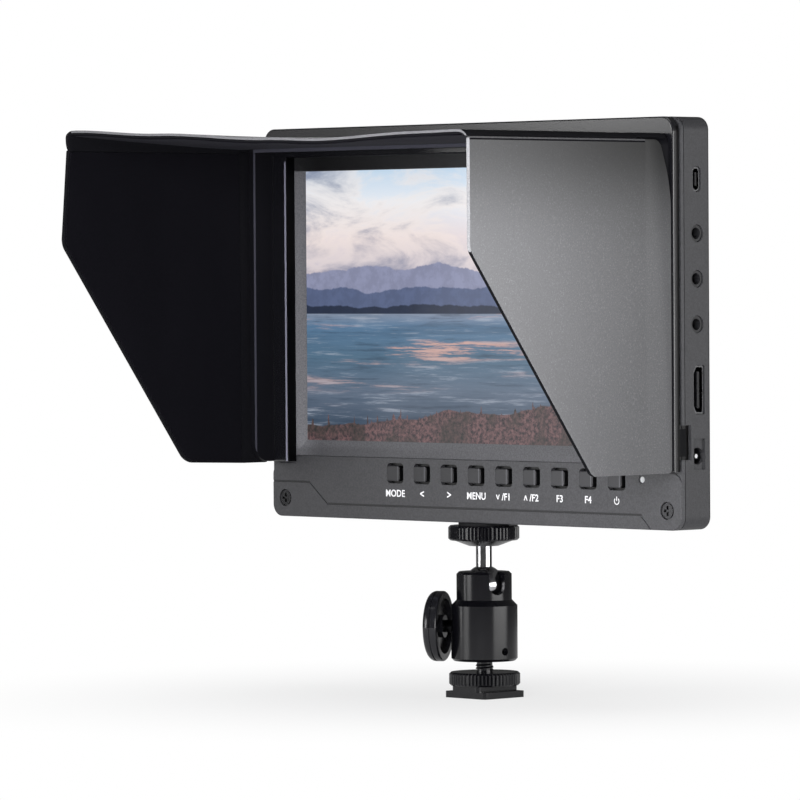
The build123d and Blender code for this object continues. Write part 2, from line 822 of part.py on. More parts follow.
with BuildPart() as status_light:
    with BuildSketch(behind(led_ring_depth)):
        with Locations(led_place):
            Circle(led_lens_r)
    extrude(amount=-(key_board_front - contact_gap - led_ring_depth))
keep(status_light, "status_light")

with BuildPart() as front_screw_pair:
    with BuildSketch(behind(screw_recess_depth - contact_gap)):
        with Locations(*front_screws):
            Circle(screw_head_r)
    extrude(amount=screw_head_height - contact_gap)
    with BuildSketch(behind(screw_recess_depth - screw_head_height)):
        with Locations(*front_screws):
            Rectangle(screw_cross, screw_cross_width)
            Rectangle(screw_cross_width, screw_cross)
    extrude(amount=-screw_cross_depth, mode=Mode.SUBTRACT)
    with BuildSketch(behind(screw_recess_depth - contact_gap)):
        with Locations(*front_screws):
            Circle(screw_shank_r)
    extrude(amount=-screw_shank_length)
keep(front_screw_pair, "front_screws")

with BuildPart() as rear_screw_set:
    with BuildSketch(rear(band_depth - screw_recess_depth + contact_gap)):
        with Locations(*rear_screws_at):
            Circle(screw_head_r)
    extrude(amount=screw_head_height - contact_gap)
    with BuildSketch(rear(band_depth - screw_recess_depth + screw_head_height)):
        with Locations(*rear_screws_at):
            Rectangle(screw_cross, screw_cross_width)
            Rectangle(screw_cross_width, screw_cross)
    extrude(amount=-screw_cross_depth, mode=Mode.SUBTRACT)
    with BuildSketch(rear(band_depth - screw_recess_depth + contact_gap)):
        with Locations(*rear_screws_at):
            Circle(screw_shank_r)
    extrude(amount=-screw_shank_length)
keep(rear_screw_set, "rear_screws")

# ================================================================== electronics and sockets
port_inner = port_sink + port_reach


def socket_plane(sink):
    """A plane facing out of the right side, a given depth inside its face."""
    return side.offset(-sink)


with BuildPart() as main_board:
    with BuildSketch(rear(board_front)):
        with Locations((-(board_left + board_right) / 2, (board_bottom + board_top) / 2)):
            Rectangle(board_right - board_left, board_top - board_bottom)
    extrude(amount=board_thickness)
    sockets = [(usb_z, usb_height), (hdmi_z, hdmi_height)] + [(z, jack_body) for z in jack_z]
    sockets.append(((dc_recess_bottom + dc_recess_top) / 2, dc_body_height + 2 * port_fit))
    with BuildSketch(rear(board_front)):
        for z, height in sockets:
            with Locations((-half_width, z)):
                Rectangle(2 * (port_inner + port_fit), height + 2 * port_fit)
        with Locations((-front_screw_x, rear_screw_z_low)):
            Circle(boss_r + lip_gap)
        with Locations((-half_width, rear_screw_z_low)):
            Rectangle(2 * (half_width - front_screw_x), 2 * (boss_r + lip_gap))
        with Locations(*[(-x, z) for x, z in board_posts]):
            Circle(board_screw_r + running_gap)
    extrude(amount=board_thickness, mode=Mode.SUBTRACT)
keep(main_board, "main_board")

with BuildPart() as board_screws:
    with BuildSketch(rear(board_front - contact_gap)):
        with Locations(*[(-x, z) for x, z in board_posts]):
            Circle(board_screw_head_r)
    extrude(amount=-board_screw_r)
    with BuildSketch(rear(board_front - contact_gap)):
        with Locations(*[(-x, z) for x, z in board_posts]):
            Circle(board_screw_r)
    extrude(amount=screw_shank_length)
keep(board_screws, "board_screws")

with BuildPart() as usb_port:
    with BuildSketch(socket_plane(port_sink)):
        with Locations((port_depth_y, usb_z)):
            RectangleRounded(usb_width, usb_height, usb_edge)
    extrude(amount=-port_reach)
    with BuildSketch(socket_plane(port_sink)):
        with Locations((port_depth_y, usb_z)):
            RectangleRounded(usb_width - 2 * usb_shell, usb_height - 2 * usb_shell, usb_edge - usb_shell)
            Rectangle(usb_tongue, usb_height - usb_width, mode=Mode.SUBTRACT)
    extrude(amount=-(port_reach - wall), mode=Mode.SUBTRACT)
keep(usb_port, "usb_port")

with BuildPart() as audio_jacks:
    with BuildSketch(socket_plane(wall + contact_gap)):
        with Locations(*[(port_depth_y, z) for z in jack_z]):
            Rectangle(jack_body - 2 * port_fit, jack_body)
    extrude(amount=-(port_inner - wall - contact_gap))
    with BuildSketch(socket_plane(wall + contact_gap)):
        with Locations(*[(port_depth_y, z) for z in jack_z]):
            Circle(jack_face_r - port_fit)
    extrude(amount=wall + contact_gap - port_sink)
    with BuildSketch(socket_plane(port_sink)):
        with Locations(*[(port_depth_y, z) for z in jack_z]):
            Circle(jack_hole_r)
    extrude(amount=-jack_depth, mode=Mode.SUBTRACT)
keep(audio_jacks, "audio_jacks")

with BuildPart() as hdmi_port:
    with BuildSketch(socket_plane(port_sink)):
        hdmi_shape()
    extrude(amount=-port_reach)
    with BuildSketch(socket_plane(port_sink)):
        hdmi_shape(-hdmi_shell)
        with Locations((hdmi_depth_y, hdmi_z)):
            Rectangle(hdmi_tongue, hdmi_height - 2 * hdmi_cut_height, mode=Mode.SUBTRACT)
    extrude(amount=-(port_reach - wall), mode=Mode.SUBTRACT)
keep(hdmi_port, "hdmi_port")

with BuildPart() as dc_jack:
    with BuildSketch(socket_plane(wall + contact_gap)):
        with Locations((dc_depth_y, (dc_recess_bottom + dc_recess_top) / 2)):
            Rectangle(dc_body_width, dc_body_height)
    extrude(amount=-(port_inner - wall - contact_gap))
    with BuildSketch(socket_plane(wall + contact_gap)):
        with Locations((dc_depth_y, dc_z)):
            Circle(dc_hole_r)
    extrude(amount=-(dc_depth - wall), mode=Mode.SUBTRACT)
    with BuildSketch(socket_plane(dc_recess_sink + port_sink)):
        with Locations((dc_depth_y, dc_z)):
            Circle(dc_pin_r)
    extrude(amount=-(dc_depth - dc_recess_sink - port_sink))
keep(dc_jack, "dc_jack")

with BuildPart() as tripod_insert:
    with BuildSketch(base):
        Circle(insert_r)
        Circle(stem_thread_r + running_gap, mode=Mode.SUBTRACT)
    extrude(amount=insert_height)
keep(tripod_insert, "tripod_insert")

# ================================================================== battery plate
plate_mid_z = plate_bottom + plate_height / 2
plate_top = plate_bottom + plate_height
plate_face = cover_back + contact_gap + plate_thickness
latch_mid_z = plate_top - latch_from_top
contact_mid_z = plate_bottom + contact_from_bottom
contact_places = [(i * contact_pitch, contact_mid_z) for i in (-1, 0, 1)]

with BuildPart() as battery_plate:
    with BuildSketch(rear(cover_back + contact_gap)):
        with Locations((0, plate_mid_z)):
            RectangleRounded(plate_width, plate_height, plate_corner_r)
    extrude(amount=plate_thickness)
    chamfer(battery_plate.faces().sort_by(Axis.Y)[-1].edges(), plate_chamfer)
    with BuildSketch(rear(plate_face)):
        for x in (-rail_slot_x, rail_slot_x):
            for step in (0, 1):
                slot_z = plate_bottom + rail_slot_first + step * rail_slot_pitch
                with Locations((x, slot_z)):
                    Rectangle(rail_slot_width, rail_slot_height)
                with Locations((x, slot_z + (rail_slot_height - rail_mouth_height) / 2)):
                    Rectangle(rail_mouth_width, rail_mouth_height)
        with Locations((0, contact_mid_z)):
            Rectangle(contact_well_w, contact_well_h)
    extrude(amount=-rail_slot_depth, mode=Mode.SUBTRACT)
    with BuildSketch(rear(plate_face)):
        with Locations((0, latch_mid_z - latch_travel / 2)):
            Rectangle(latch_w + 2 * latch_fit, latch_h + 2 * latch_fit + latch_travel)
    extrude(amount=-rail_slot_depth, mode=Mode.SUBTRACT)
keep(battery_plate, "battery_plate")

with BuildPart() as battery_contacts:
    with BuildSketch(rear(plate_face - rail_slot_depth)):
        with Locations(*contact_places):
            Rectangle(contact_w, contact_h)
    extrude(amount=contact_tall)
keep(battery_contacts, "battery_contacts")

with BuildPart() as battery_latch:
    with BuildSketch(rear(plate_face - rail_slot_depth + contact_gap)):
        with Locations((0, latch_mid_z)):
            Rectangle(latch_w, latch_h)
    extrude(amount=rail_slot_depth + latch_proud - contact_gap)
    fillet(battery_latch.faces().sort_by(Axis.Y)[-1].edges(), latch_edge_r)
keep(battery_latch, "battery_latch")

# ================================================================== sun hood
with BuildPart() as hood_collar:
    flange_back = bezel_step - contact_gap
    with BuildSketch(behind(flange_back)) as flange:
        with Locations((0, (hood_bottom + body_height) / 2)):
            Rectangle(body_width, body_height - hood_bottom)
        fillet(flange.vertices().group_by(Axis.Y)[-1], flange_outer_r)
        with Locations((0, (hood_bottom + flange_inner_z) / 2)):
            Rectangle(2 * flange_inner_x, flange_inner_z - hood_bottom, mode=Mode.SUBTRACT)
    extrude(amount=flange_back + flange_front)
    fillet(hood_collar.faces().sort_by(Axis.Y)[0].edges(), flange_edge_r)
    with BuildSketch(behind(flange_back)) as rebate:
        with Locations((0, body_height / 2)):
            Rectangle(body_width + wall, body_height + wall)
            RectangleRounded(
                body_width - 2 * flange_rebate,
                body_height - 2 * flange_rebate,
                flange_outer_r - flange_rebate,
                mode=Mode.SUBTRACT,
            )
    extrude(amount=flange_rebate, mode=Mode.SUBTRACT)
    # walls standing forward from the flange
    with BuildSketch(front.offset(flange_front)) as walls:
        with Locations((0, (hood_bottom + collar_outer_z) / 2)):
            Rectangle(2 * collar_outer_x, collar_outer_z - hood_bottom)
        fillet(walls.vertices().group_by(Axis.Y)[-1], collar_corner_r)
        with Locations((0, (hood_bottom + collar_top_z) / 2)):
            Rectangle(2 * collar_inner_x, collar_top_z - hood_bottom, mode=Mode.SUBTRACT)
    extrude(amount=collar_reach - flange_front)
    foot_level = monitor_z + hood_bottom
    foot_corners = (
        hood_collar.edges()
        .filter_by(Axis.X)
        .filter_by_position(Axis.Z, foot_level - flange_edge_r / 4, foot_level + flange_edge_r / 4)
        .group_by(Axis.Y)[0]
    )
    fillet(foot_corners, collar_bottom_r)
    # tabs that snap into the body's notches
    with BuildSketch(front.offset(tab_root)):
        for x in (-1, 1):
            with Locations((x * (half_width - tab_inset - tab_thickness / 2), notch_mid_z)):
                Rectangle(tab_thickness, tab_top - tab_bottom)
    extrude(amount=-(tab_root + tab_reach))
keep(hood_collar, "hood_collar")


def forward(distance):
    """A world Y coordinate, as a distance in front of the lower bezel's face."""
    return front_y - distance


for side_name, sign in (("left", -1), ("right", 1)):
    with BuildPart() as hinge_skin:
        wall_face = (sign * collar_outer_x, 0, monitor_z)
        skin_plane = Plane(origin=wall_face, x_dir=(0, sign, 0), z_dir=(sign, 0, 0))
        with BuildSketch(skin_plane):
            with BuildLine():
                Polyline(
                    (sign * forward(skin_rear), wing_bottom),
                    (sign * forward(wing_crease - fold_gap), wing_bottom),
                    (sign * forward(wing_crease - fold_gap), wing_top),
                    (sign * forward(skin_taper_reach), wing_top),
                    (sign * forward(skin_rear), wing_top - skin_taper_length),
                    close=True,
                )
            make_face()
        extrude(amount=skin_thickness)
    keep(hinge_skin, side_name + "_hinge_cloth")

with BuildPart() as top_hinge_skin:
    with BuildSketch(Plane.XY.offset(monitor_z + collar_outer_z)):
        skin_length = flap_crease - fold_gap - skin_rear
        with Locations((0, forward(skin_rear + skin_length / 2))):
            Rectangle(2 * flap_half_width, skin_length)
    extrude(amount=skin_thickness)
keep(top_hinge_skin, "top_hinge_cloth")


def wing_profile(inset=0.0):
    """A wing's outline: X runs forwards from the crease and Y up from the body's bottom."""
    reach = wing_front - wing_crease
    top_corner = (reach, wing_top)
    low_corner = (reach, wing_front_low)
    foot_corner = (wing_foot - wing_crease, wing_bottom)
    with BuildSketch(mode=Mode.PRIVATE) as outline:
        with BuildLine():
            Polyline(
                (fold_gap, wing_bottom),
                foot_corner,
                low_corner,
                top_corner,
                (fold_gap, wing_top),
                close=True,
            )
        make_face()
        rounds = ((top_corner, wing_r_top), (low_corner, wing_r_mid), (foot_corner, wing_r_foot))
        for corner, radius in rounds:
            fillet(outline.vertices().sort_by_distance((*corner, 0))[0], radius)
        if inset:
            offset(amount=-inset, mode=Mode.REPLACE)
    add(outline.sketch)


for side_name, sign, splay in (("left", -1, left_splay), ("right", 1, right_splay)):
    s, c = sin(radians(splay)), cos(radians(splay))
    wing_plane = Plane(
        origin=(sign * collar_outer_x, forward(wing_crease), monitor_z),
        x_dir=(sign * s, -c, 0),
        z_dir=(-c, -sign * s, 0),
    )
    with BuildPart() as wing:
        with BuildSketch(wing_plane.offset(-sign * skin_thickness)):
            wing_profile()
        extrude(amount=sign * (skin_thickness + board_inside))
    keep(wing, side_name + "_wing")
    with BuildPart() as lining:
        with BuildSketch(wing_plane.offset(sign * board_inside)):
            wing_profile(lining_inset)
        extrude(amount=sign * lining_thickness)
    keep(lining, side_name + "_wing_lining")

flap_plane = Plane(
    origin=(0, forward(flap_crease), monitor_z + collar_outer_z),
    x_dir=(-1, 0, 0),
    z_dir=(0, sin(radians(flap_rise)), cos(radians(flap_rise))),
)
flap_length = flap_front - flap_crease


def flap_profile(inset=0.0):
    """The flap's outline: Y runs forwards from its crease."""
    with BuildSketch(mode=Mode.PRIVATE) as outline:
        with Locations((0, (fold_gap + flap_length) / 2)):
            Rectangle(2 * flap_half_width, flap_length - fold_gap)
        fillet(outline.vertices().group_by(Axis.Y)[-1], flap_corner_r)
        if inset:
            offset(amount=-inset, mode=Mode.REPLACE)
    add(outline.sketch)


with BuildPart() as top_flap:
    with BuildSketch(flap_plane.offset(-board_inside)):
        flap_profile()
    extrude(amount=board_inside + skin_thickness)
keep(top_flap, "top_flap")

with BuildPart() as flap_lining:
    with BuildSketch(flap_plane.offset(-board_inside - lining_thickness)):
        flap_profile(lining_inset)
    extrude(amount=lining_thickness)
keep(flap_lining, "top_flap_lining")
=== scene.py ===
import math
from contextlib import contextmanager

import bmesh
import bpy
from bpy.props import FloatProperty, FloatVectorProperty, PointerProperty
from mathutils import Matrix, Vector


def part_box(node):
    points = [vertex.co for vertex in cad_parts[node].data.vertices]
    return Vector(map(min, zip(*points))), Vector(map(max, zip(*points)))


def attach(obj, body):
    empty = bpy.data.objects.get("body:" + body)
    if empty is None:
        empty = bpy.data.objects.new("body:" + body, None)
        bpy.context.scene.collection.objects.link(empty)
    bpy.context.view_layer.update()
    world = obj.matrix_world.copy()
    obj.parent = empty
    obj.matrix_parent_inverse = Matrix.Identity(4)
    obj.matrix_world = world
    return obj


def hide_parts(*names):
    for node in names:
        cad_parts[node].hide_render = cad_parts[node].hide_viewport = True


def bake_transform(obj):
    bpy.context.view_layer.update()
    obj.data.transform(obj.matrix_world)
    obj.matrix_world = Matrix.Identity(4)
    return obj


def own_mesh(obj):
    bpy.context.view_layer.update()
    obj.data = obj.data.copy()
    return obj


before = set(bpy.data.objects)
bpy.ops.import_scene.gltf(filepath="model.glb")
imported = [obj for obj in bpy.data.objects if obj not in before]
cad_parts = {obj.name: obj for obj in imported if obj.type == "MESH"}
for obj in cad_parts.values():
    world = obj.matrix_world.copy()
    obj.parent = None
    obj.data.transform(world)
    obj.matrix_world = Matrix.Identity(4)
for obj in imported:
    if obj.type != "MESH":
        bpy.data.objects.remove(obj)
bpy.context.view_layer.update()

bl_info = {
    "name": "Camera field monitor with sun hood",
    "version": (1, 0, 0),
    "blender": (4, 5, 0),
    "location": "3D View > Sidebar > Field monitor",
    "description": "Finishes, hood cloth, printing and studio for a camera field monitor",
    "category": "Object",
}

MM = 0.001

# places read from the solids, in metres
BEZEL_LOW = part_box("front_bezel")[0]
COVER_LOW, COVER_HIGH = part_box("rear_cover")
SCREEN_LOW, SCREEN_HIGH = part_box("lcd_panel")
COLLAR_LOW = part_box("hood_collar")[0]
SIDE_CLOTH_LOW, SIDE_CLOTH_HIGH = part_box("right_hinge_cloth")
TOP_CLOTH_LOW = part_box("top_hinge_cloth")[0]
WING_LOW, WING_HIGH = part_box("right_wing")
FLAP_LOW, FLAP_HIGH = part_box("top_flap")
FACE_Y = BEZEL_LOW.y                  # the lower bezel's face
BODY_BOTTOM = COVER_LOW.z
WALL_X = SIDE_CLOTH_LOW.x             # outer face of the hood collar's side walls
REST_PLACE = "rest_place"             # the attribute that holds a point's place at rest
CLOTH = SIDE_CLOTH_HIGH.x - SIDE_CLOTH_LOW.x
WING_CREASE = SIDE_CLOTH_LOW.y
WING_BOTTOM = WING_LOW.z
WING_TOP = WING_HIGH.z
FLAP_CREASE = TOP_CLOTH_LOW.y
ROOF_Z = TOP_CLOTH_LOW.z              # top face of the collar's roof
GROOVE_LOW = 4.5 * MM                 # the bezel's styling groove, above the body's bottom
GROOVE_HIGH = 11.4 * MM
NOTCH_FLOOR = COVER_HIGH.x - 1.5 * MM  # the tab notches' floors, from the middle
NOTCH_MIDDLE = BODY_BOTTOM + 26.8 * MM
KEY_NODES = ("key_source", "key_left", "key_right", "key_menu", "key_down", "key_up", "key_three",
             "key_four", "key_power")

# painted light and shade: half sizes from the body's middle, heights from the floor
BEVEL_HALF_WIDTH = 82.8 * MM          # the bevel round the screen
BEVEL_HALF_HEIGHT = 48.5 * MM
RAISED_HALF_WIDTH = 88.9 * MM         # the bezel's raised middle
# painted shade on its upper rim, under the flap, between these two heights above the screen's
# middle
RIM_START, RIM_END = 43.4 * MM, 44 * MM
STRIP_TOP = (77 * MM, 79 * MM)        # where the bezel's lower strip ends
FLANGE_INNER = 81.8 * MM              # the hood frame's flange, at its inner edge
FLANGE_TOP = 172.0 * MM


# ------------------------------------------------------------------ settings
def length(name, default, description):
    """A size that a user may change, in metres."""
    return FloatProperty(name=name, default=default, description=description, unit="LENGTH",
                         precision=5)


def colour(name, default, description):
    """A colour that a user may change."""
    return FloatVectorProperty(
        name=name, default=default, description=description, subtype="COLOR", size=3, min=0, max=1
    )


def angle(name, degrees, description):
    """A turn that a user may change, given in degrees."""
    return FloatProperty(
        name=name, default=math.radians(degrees), description=description, subtype="ANGLE"
    )


def number(name, default, description, **limits):
    """A plain number that a user may change."""
    return FloatProperty(name=name, default=default, description=description, **limits)


class HoodSettings(bpy.types.PropertyGroup):
    """The hood's cloth and velvet."""

    cloth_color: colour("Cloth", (0.125, 0.126, 0.133), "Satin coated cloth outside")
    edging_color: colour("Edging", (0.0055, 0.0055, 0.0070),
                         "Tape inside and round the flap's sides")
    cut_edge_color: colour("Cut edge", (0.27, 0.27, 0.285), "The wing's forward cut edge")
    hem_color: colour("Hem", (0.15, 0.15, 0.16), "The flap's forward edge")
    velvet_color: colour("Velvet", (0.0048, 0.0046, 0.0064), "Velvet inside")
    board: length("Board", 0.6 * MM, "Stiffener inside the cloth")
    velvet: length("Velvet thickness", 0.4 * MM, "Thickness of the velvet")
    velvet_inset: length("Velvet inset", 0.55 * MM, "From the cloth's edge to the velvet")
    edge_radius: length("Edge radius", 0.32 * MM, "Rounding of the folded cloth edge")
    fold_width: length("Fold width", 0.9 * MM, "Half width of the bend at a wing's crease")
    right_splay: angle("Right splay", 1.6, "Right wing, outwards")
    left_splay: angle("Left splay", -0.6, "Left wing, outwards")
    right_rise: length("Right rise", 0.5 * MM,
                       "How far the right wing's cloth stands past its board at the top")
    overhang: length("Overhang", 2.2 * MM,
                     "How far the top flap stands past the frame at each side")
    left_tuck: length("Left tuck", 1.3 * MM, "How much less it stands past the frame at the left")
    edge_bend: length("Edge bend", 0.9 * MM,
                      "Radius at which the flap's side edges turn down to the wings")
    stitch_pitch: length("Stitch pitch", 2.4 * MM, "From stitch to stitch")
    stitch_length: length("Stitch length", 1.6 * MM, "Length of one stitch")
    stitch_radius: length("Stitch radius", 0.16 * MM, "Radius of the thread")


class BodySettings(bpy.types.PropertyGroup):
    """The housing's plastic and printing."""

    plastic_color: colour("Plastic", (0.050, 0.050, 0.0545), "Moulded housing")
    key_color: colour("Keys", (0.030, 0.030, 0.033), "Key caps")
    frame_color: colour("Hood frame", (0.0060, 0.0060, 0.0078), "Glossy black collar of the hood")
    print_color: colour("Printing", (0.78, 0.78, 0.80), "Printed key symbols")
    cover_color: colour("Cover", (0.040, 0.040, 0.0435), "Moulded rear cover")
    print_height: length("Letter height", 2.15 * MM, "Height of the printed letters")
    print_drop: length("Printing drop", 6.5 * MM, "From the keys' middle down to the printing")
    print_thickness: length("Ink", 0.03 * MM, "Thickness of the printing")


class ScreenSettings(bpy.types.PropertyGroup):
    """The picture that the screen shows."""

    brightness: number("Brightness", 1.0, "Screen light", min=0, max=4)
    horizon: number("Horizon", 0.47, "Height of the far shore", min=0, max=1)


class StageSettings(bpy.types.PropertyGroup):
    """The camera and the lamps."""

    distance: length("Distance", 1.8299, "Camera to aim point")
    azimuth: angle("Azimuth", 46.68, "From the front, rightwards")
    elevation: angle("Elevation", 1.24, "Above the horizontal")
    roll: angle("Roll", -0.37, "Turn about the view axis")
    aim: FloatVectorProperty(
        name="Aim", default=(-0.014562, -0.022304, 0.094216), subtype="TRANSLATION",
        description="Aim point"
    )
    focal_length: number("Focal length", 261.3, "In mm, 36 mm sensor")
    front_power: number("Front light", 9.5, "Watts")
    strip_power: number("Strip light", 0.6, "Watts")
    fill_power: number("Fill light", 0.62, "Watts")
    right_power: number("Right light", 3.5, "Watts")
    top_power: number("Top light", 6.0, "Watts")
    room_level: number("Room light", 0.30, "Strength of the room's light")
    dim_level: number("Dim side", 0.07, "How bright gloss sees the room")


# ------------------------------------------------------------------ modelling helpers
def deselect():
    """Nothing selected, in object mode."""
    if bpy.context.object and bpy.context.object.mode != "OBJECT":
        bpy.ops.object.mode_set(mode="OBJECT")
    bpy.ops.object.select_all(action="DESELECT")


def choose(piece):
    """Only this piece selected and active."""
    deselect()
    piece.select_set(True)
    bpy.context.view_layer.objects.active = piece


def settle(piece):
    """Put the piece's place, turn and scale into its mesh."""
    choose(piece)
    bpy.ops.object.transform_apply(location=True, rotation=True, scale=True)
    return piece


def add(name, kind, scale=(1, 1, 1), **values):
    """Add a mesh primitive under its own name, with its place, turn and scale in its mesh."""
    deselect()
    getattr(bpy.ops.mesh, f"primitive_{kind}_add")(**values)
    piece = bpy.context.object
    piece.scale = scale
    piece.name = piece.data.name = name
    return settle(piece)


@contextmanager
def editing(piece):
    """Edit mode on this piece alone, then object mode again."""
    choose(piece)
    bpy.ops.object.mode_set(mode="EDIT")
    yield
    bpy.ops.object.mode_set(mode="OBJECT")


def pick(piece, test):
    """Select, in edit mode, only the points that pass the test."""
    bpy.ops.mesh.select_mode(type="VERT")
    bpy.ops.mesh.select_all(action="DESELECT")
    mesh = bmesh.from_edit_mesh(piece.data)
    for vertex in mesh.verts:
        vertex.select_set(test(vertex.co))
    bmesh.update_edit_mesh(piece.data)


def cut(piece, point, normal, keep_all=True):
    """Cut the piece along a plane, and drop what lies beyond it where keep_all is false."""
    with editing(piece):
        bpy.ops.mesh.select_all(action="SELECT")
        bpy.ops.mesh.bisect(plane_co=point, plane_no=normal, clear_outer=not keep_all,
                            threshold=1e-7)


def round_corner(piece, corner, reach, segments=7):
    """Round the outline's corner nearest to a point, over a length of its two edges."""
    nearest = min((v.co for v in piece.data.vertices),
                  key=lambda co: (co.xy - Vector(corner)).length).copy()
    with editing(piece):
        pick(piece, lambda co: (co - nearest).length < 1e-6)
        bpy.ops.mesh.bevel(offset_type="OFFSET", offset=reach, segments=segments, affect="VERTICES")


def modify(piece, kind, **values):
    """Add a modifier and apply it."""
    modifier = piece.modifiers.new(kind, kind)
    for key, value in values.items():
        setattr(modifier, key, value)
    choose(piece)
    bpy.ops.object.modifier_apply(modifier=modifier.name)


def close_up(piece, angle=35.0):
    """Merge doubles, point the faces outwards and shade the soft edges smooth."""
    with editing(piece):
        bpy.ops.mesh.select_all(action="SELECT")
        bpy.ops.mesh.remove_doubles(threshold=1e-6)
        bpy.ops.mesh.normals_make_consistent(inside=False)
    bpy.ops.object.shade_smooth_by_angle(angle=math.radians(angle))


def move_points(piece, place):
    """Move each point of the mesh to where the function puts it."""
    for vertex in piece.data.vertices:
        vertex.co = place(vertex.co)


def dress(piece, finish, body):
    """Give a finished piece its material and its body."""
    piece.data.materials.clear()
    piece.data.materials.append(finish)
    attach(piece, body)


def paint(finishes):
    """Give the frame's solids their materials: a material, and the names of its nodes."""
    for finish, nodes in finishes.items():
        for node in nodes:
            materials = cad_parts[node].data.materials
            materials.clear()
            materials.append(finish)


# ------------------------------------------------------------------ shader helpers
def screen(red, green, blue):
    """A colour from its 0 to 255 screen values."""
    return tuple((value / 255) ** 2.2 for value in (red, green, blue))


class Wire:
    """A node's output, on which Python's arithmetic adds Math nodes."""

    def __init__(self, finish, socket):
        self.finish = finish
        self.socket = socket

    def _math(self, operation, *values):
        inputs = {i: value for i, value in enumerate(values)}
        return self.finish.node("ShaderNodeMath", {"operation": operation}, inputs)

    def near(self, middle, half):
        """1 within a distance of the middle, 0 elsewhere."""
        return self._math("COMPARE", self, middle, half)

    def step(self, low, high):
        """0 below low, 1 above high, smooth between."""
        return self.finish.node(
            "ShaderNodeMapRange",
            {"interpolation_type": "SMOOTHSTEP"},
            {"Value": self, "From Min": low, "From Max": high},
        )


def arithmetic(operation, turned=False):
    """A method of Wire that adds one Math node, with its two inputs turned round if asked."""
    def method(self, other):
        return self._math(operation, *((other, self) if turned else (self, other)))

    return method


for sign, operation in (
    ("add", "ADD"), ("sub", "SUBTRACT"), ("mul", "MULTIPLY"), ("truediv", "DIVIDE"),
    ("pow", "POWER"),
    ("mod", "MODULO"),
):
    setattr(Wire, f"__{sign}__", arithmetic(operation))
    setattr(Wire, f"__r{sign}__", arithmetic(operation, turned=True))


class Finish:
    """A material, its principled shader and the nodes that feed it."""

    def __init__(self, name, base, roughness, **constants):
        self.material = bpy.data.materials.new(name)
        self.material.use_nodes = True
        self.tree = self.material.node_tree
        self.shader = self.tree.nodes["Principled BSDF"]
        self.feed("Base Color", (*base, 1))
        self.feed("Roughness", roughness)
        for key, value in constants.items():
            self.feed(key.replace("_", " ").title().replace("Ior", "IOR"), value)

    def node(self, kind, settings=None, inputs=None, output=0):
        """Add a node: its settings first, then the values or wires of its sockets."""
        made = self.tree.nodes.new(kind)
        for key, value in (settings or {}).items():
            if key == "stops":
                for at, _ in value[2:]:
                    made.color_ramp.elements.new(at)
                for element, (at, shade) in zip(made.color_ramp.elements, value):
                    element.position = at
                    element.color = (*shade, 1)
            else:
                setattr(made, key, value)
        for key, value in (inputs or {}).items():
            self.join(value, made.inputs[key])
        return Wire(self, made.outputs[output])

    def join(self, value, socket):
        """Link a wire to a socket, or set the socket's value."""
        if isinstance(value, Wire):
            self.tree.links.new(value.socket, socket)
        else:
            socket.default_value = value

    def feed(self, name, value):
        """Feed one of the shader's sockets."""
        self.join(value, self.shader.inputs[name])

    def place(self, stretch=(1, 1, 1), shift=(0, 0, 0)):
        """The point's place in the object's frame, stretched and moved."""
        point = self.node("ShaderNodeTexCoord", output="Object")
        return self.node("ShaderNodeMapping",
                         inputs={"Vector": point, "Scale": stretch, "Location": shift})

    def axes(self, point=None):
        """X, Y and Z of a point, or of the surface's own place, as three wires."""
        split = self.node("ShaderNodeSeparateXYZ",
                          inputs={"Vector": point or self.place()}).socket.node
        return [Wire(self, output) for output in split.outputs]

    def noise(self, scale, detail=2.0, roughness=0.5, distortion=0.0, point=None, **place):
        """Noise from 0 to 1 at a point, or at the surface's own place, stretched and shifted."""
        inputs = {
            "Vector": point or self.place(**place), "Scale": scale, "Detail": detail,
            "Roughness": roughness,
            "Distortion": distortion,
        }
        return self.node("ShaderNodeTexNoise", inputs=inputs)

    def mix(self, factor, a, b):
        """Two colours mixed."""
        a, b = (value if isinstance(value, Wire) else (*value, 1) for value in (a, b))
        settings = {"data_type": "RGBA", "blend_type": "MIX", "clamp_factor": True}
        return self.node("ShaderNodeMix", settings, {0: factor, 6: a, 7: b}, output=2)

    def ramp(self, factor, stops):
        """A colour ramp from its stops."""
        return self.node("ShaderNodeValToRGB", {"stops": stops}, {0: factor})

    def shade(self, base, change):
        """A colour made darker or lighter by a wire about 1."""
        scaled = self.node("ShaderNodeVectorMath", {"operation": "SCALE"},
                           {0: base, "Scale": change})
        self.feed("Base Color", scaled)

    def bump(self, height, depth, strength=1.0):
        """Raise the surface by a height wire, full depth in metres."""
        inputs = {"Height": height, "Distance": depth, "Strength": strength}
        self.feed("Normal", self.node("ShaderNodeBump", inputs=inputs, output="Normal"))


def moulded(name, base, grain=0.45 * MM, depth=0.05 * MM, roughness=0.42, mottle=0.10, speckle=0.5,
            painted_shading=None, **constants):
    """Moulded plastic with a fine spark-eroded grain, its tone changed by painted light and shade
    from the place, where given.
    """
    finish = Finish(name, base, roughness, **constants)
    fine = finish.noise(1 / grain, detail=3.0, roughness=0.62)
    broad = finish.noise(45.0, detail=3.0)
    tone = 1 - mottle / 2 - speckle / 2 + fine.step(0.3, 0.7) * speckle + broad * mottle
    finish.shade(base, tone * painted_shading(*finish.axes()) if painted_shading else tone)
    finish.feed("Roughness", roughness - 0.08 + fine * 0.10 + broad * 0.06)
    finish.bump(fine, depth, 0.6)
    return finish.material


def speckled(name, base, roughness, scale, tone, gloss=None, depth=0.0, strength=0.4, detail=2.0,
             fineness=0.5, **constants):
    """A finish that follows one fine noise; tone and gloss are its least value and its spread."""
    finish = Finish(name, base, roughness, **constants)
    fine = finish.noise(scale, detail, fineness)
    finish.shade(base, tone[0] + fine * tone[1])
    if gloss:
        finish.feed("Roughness", gloss[0] + fine * gloss[1])
    if depth:
        finish.bump(fine, depth, strength)
    return finish.material


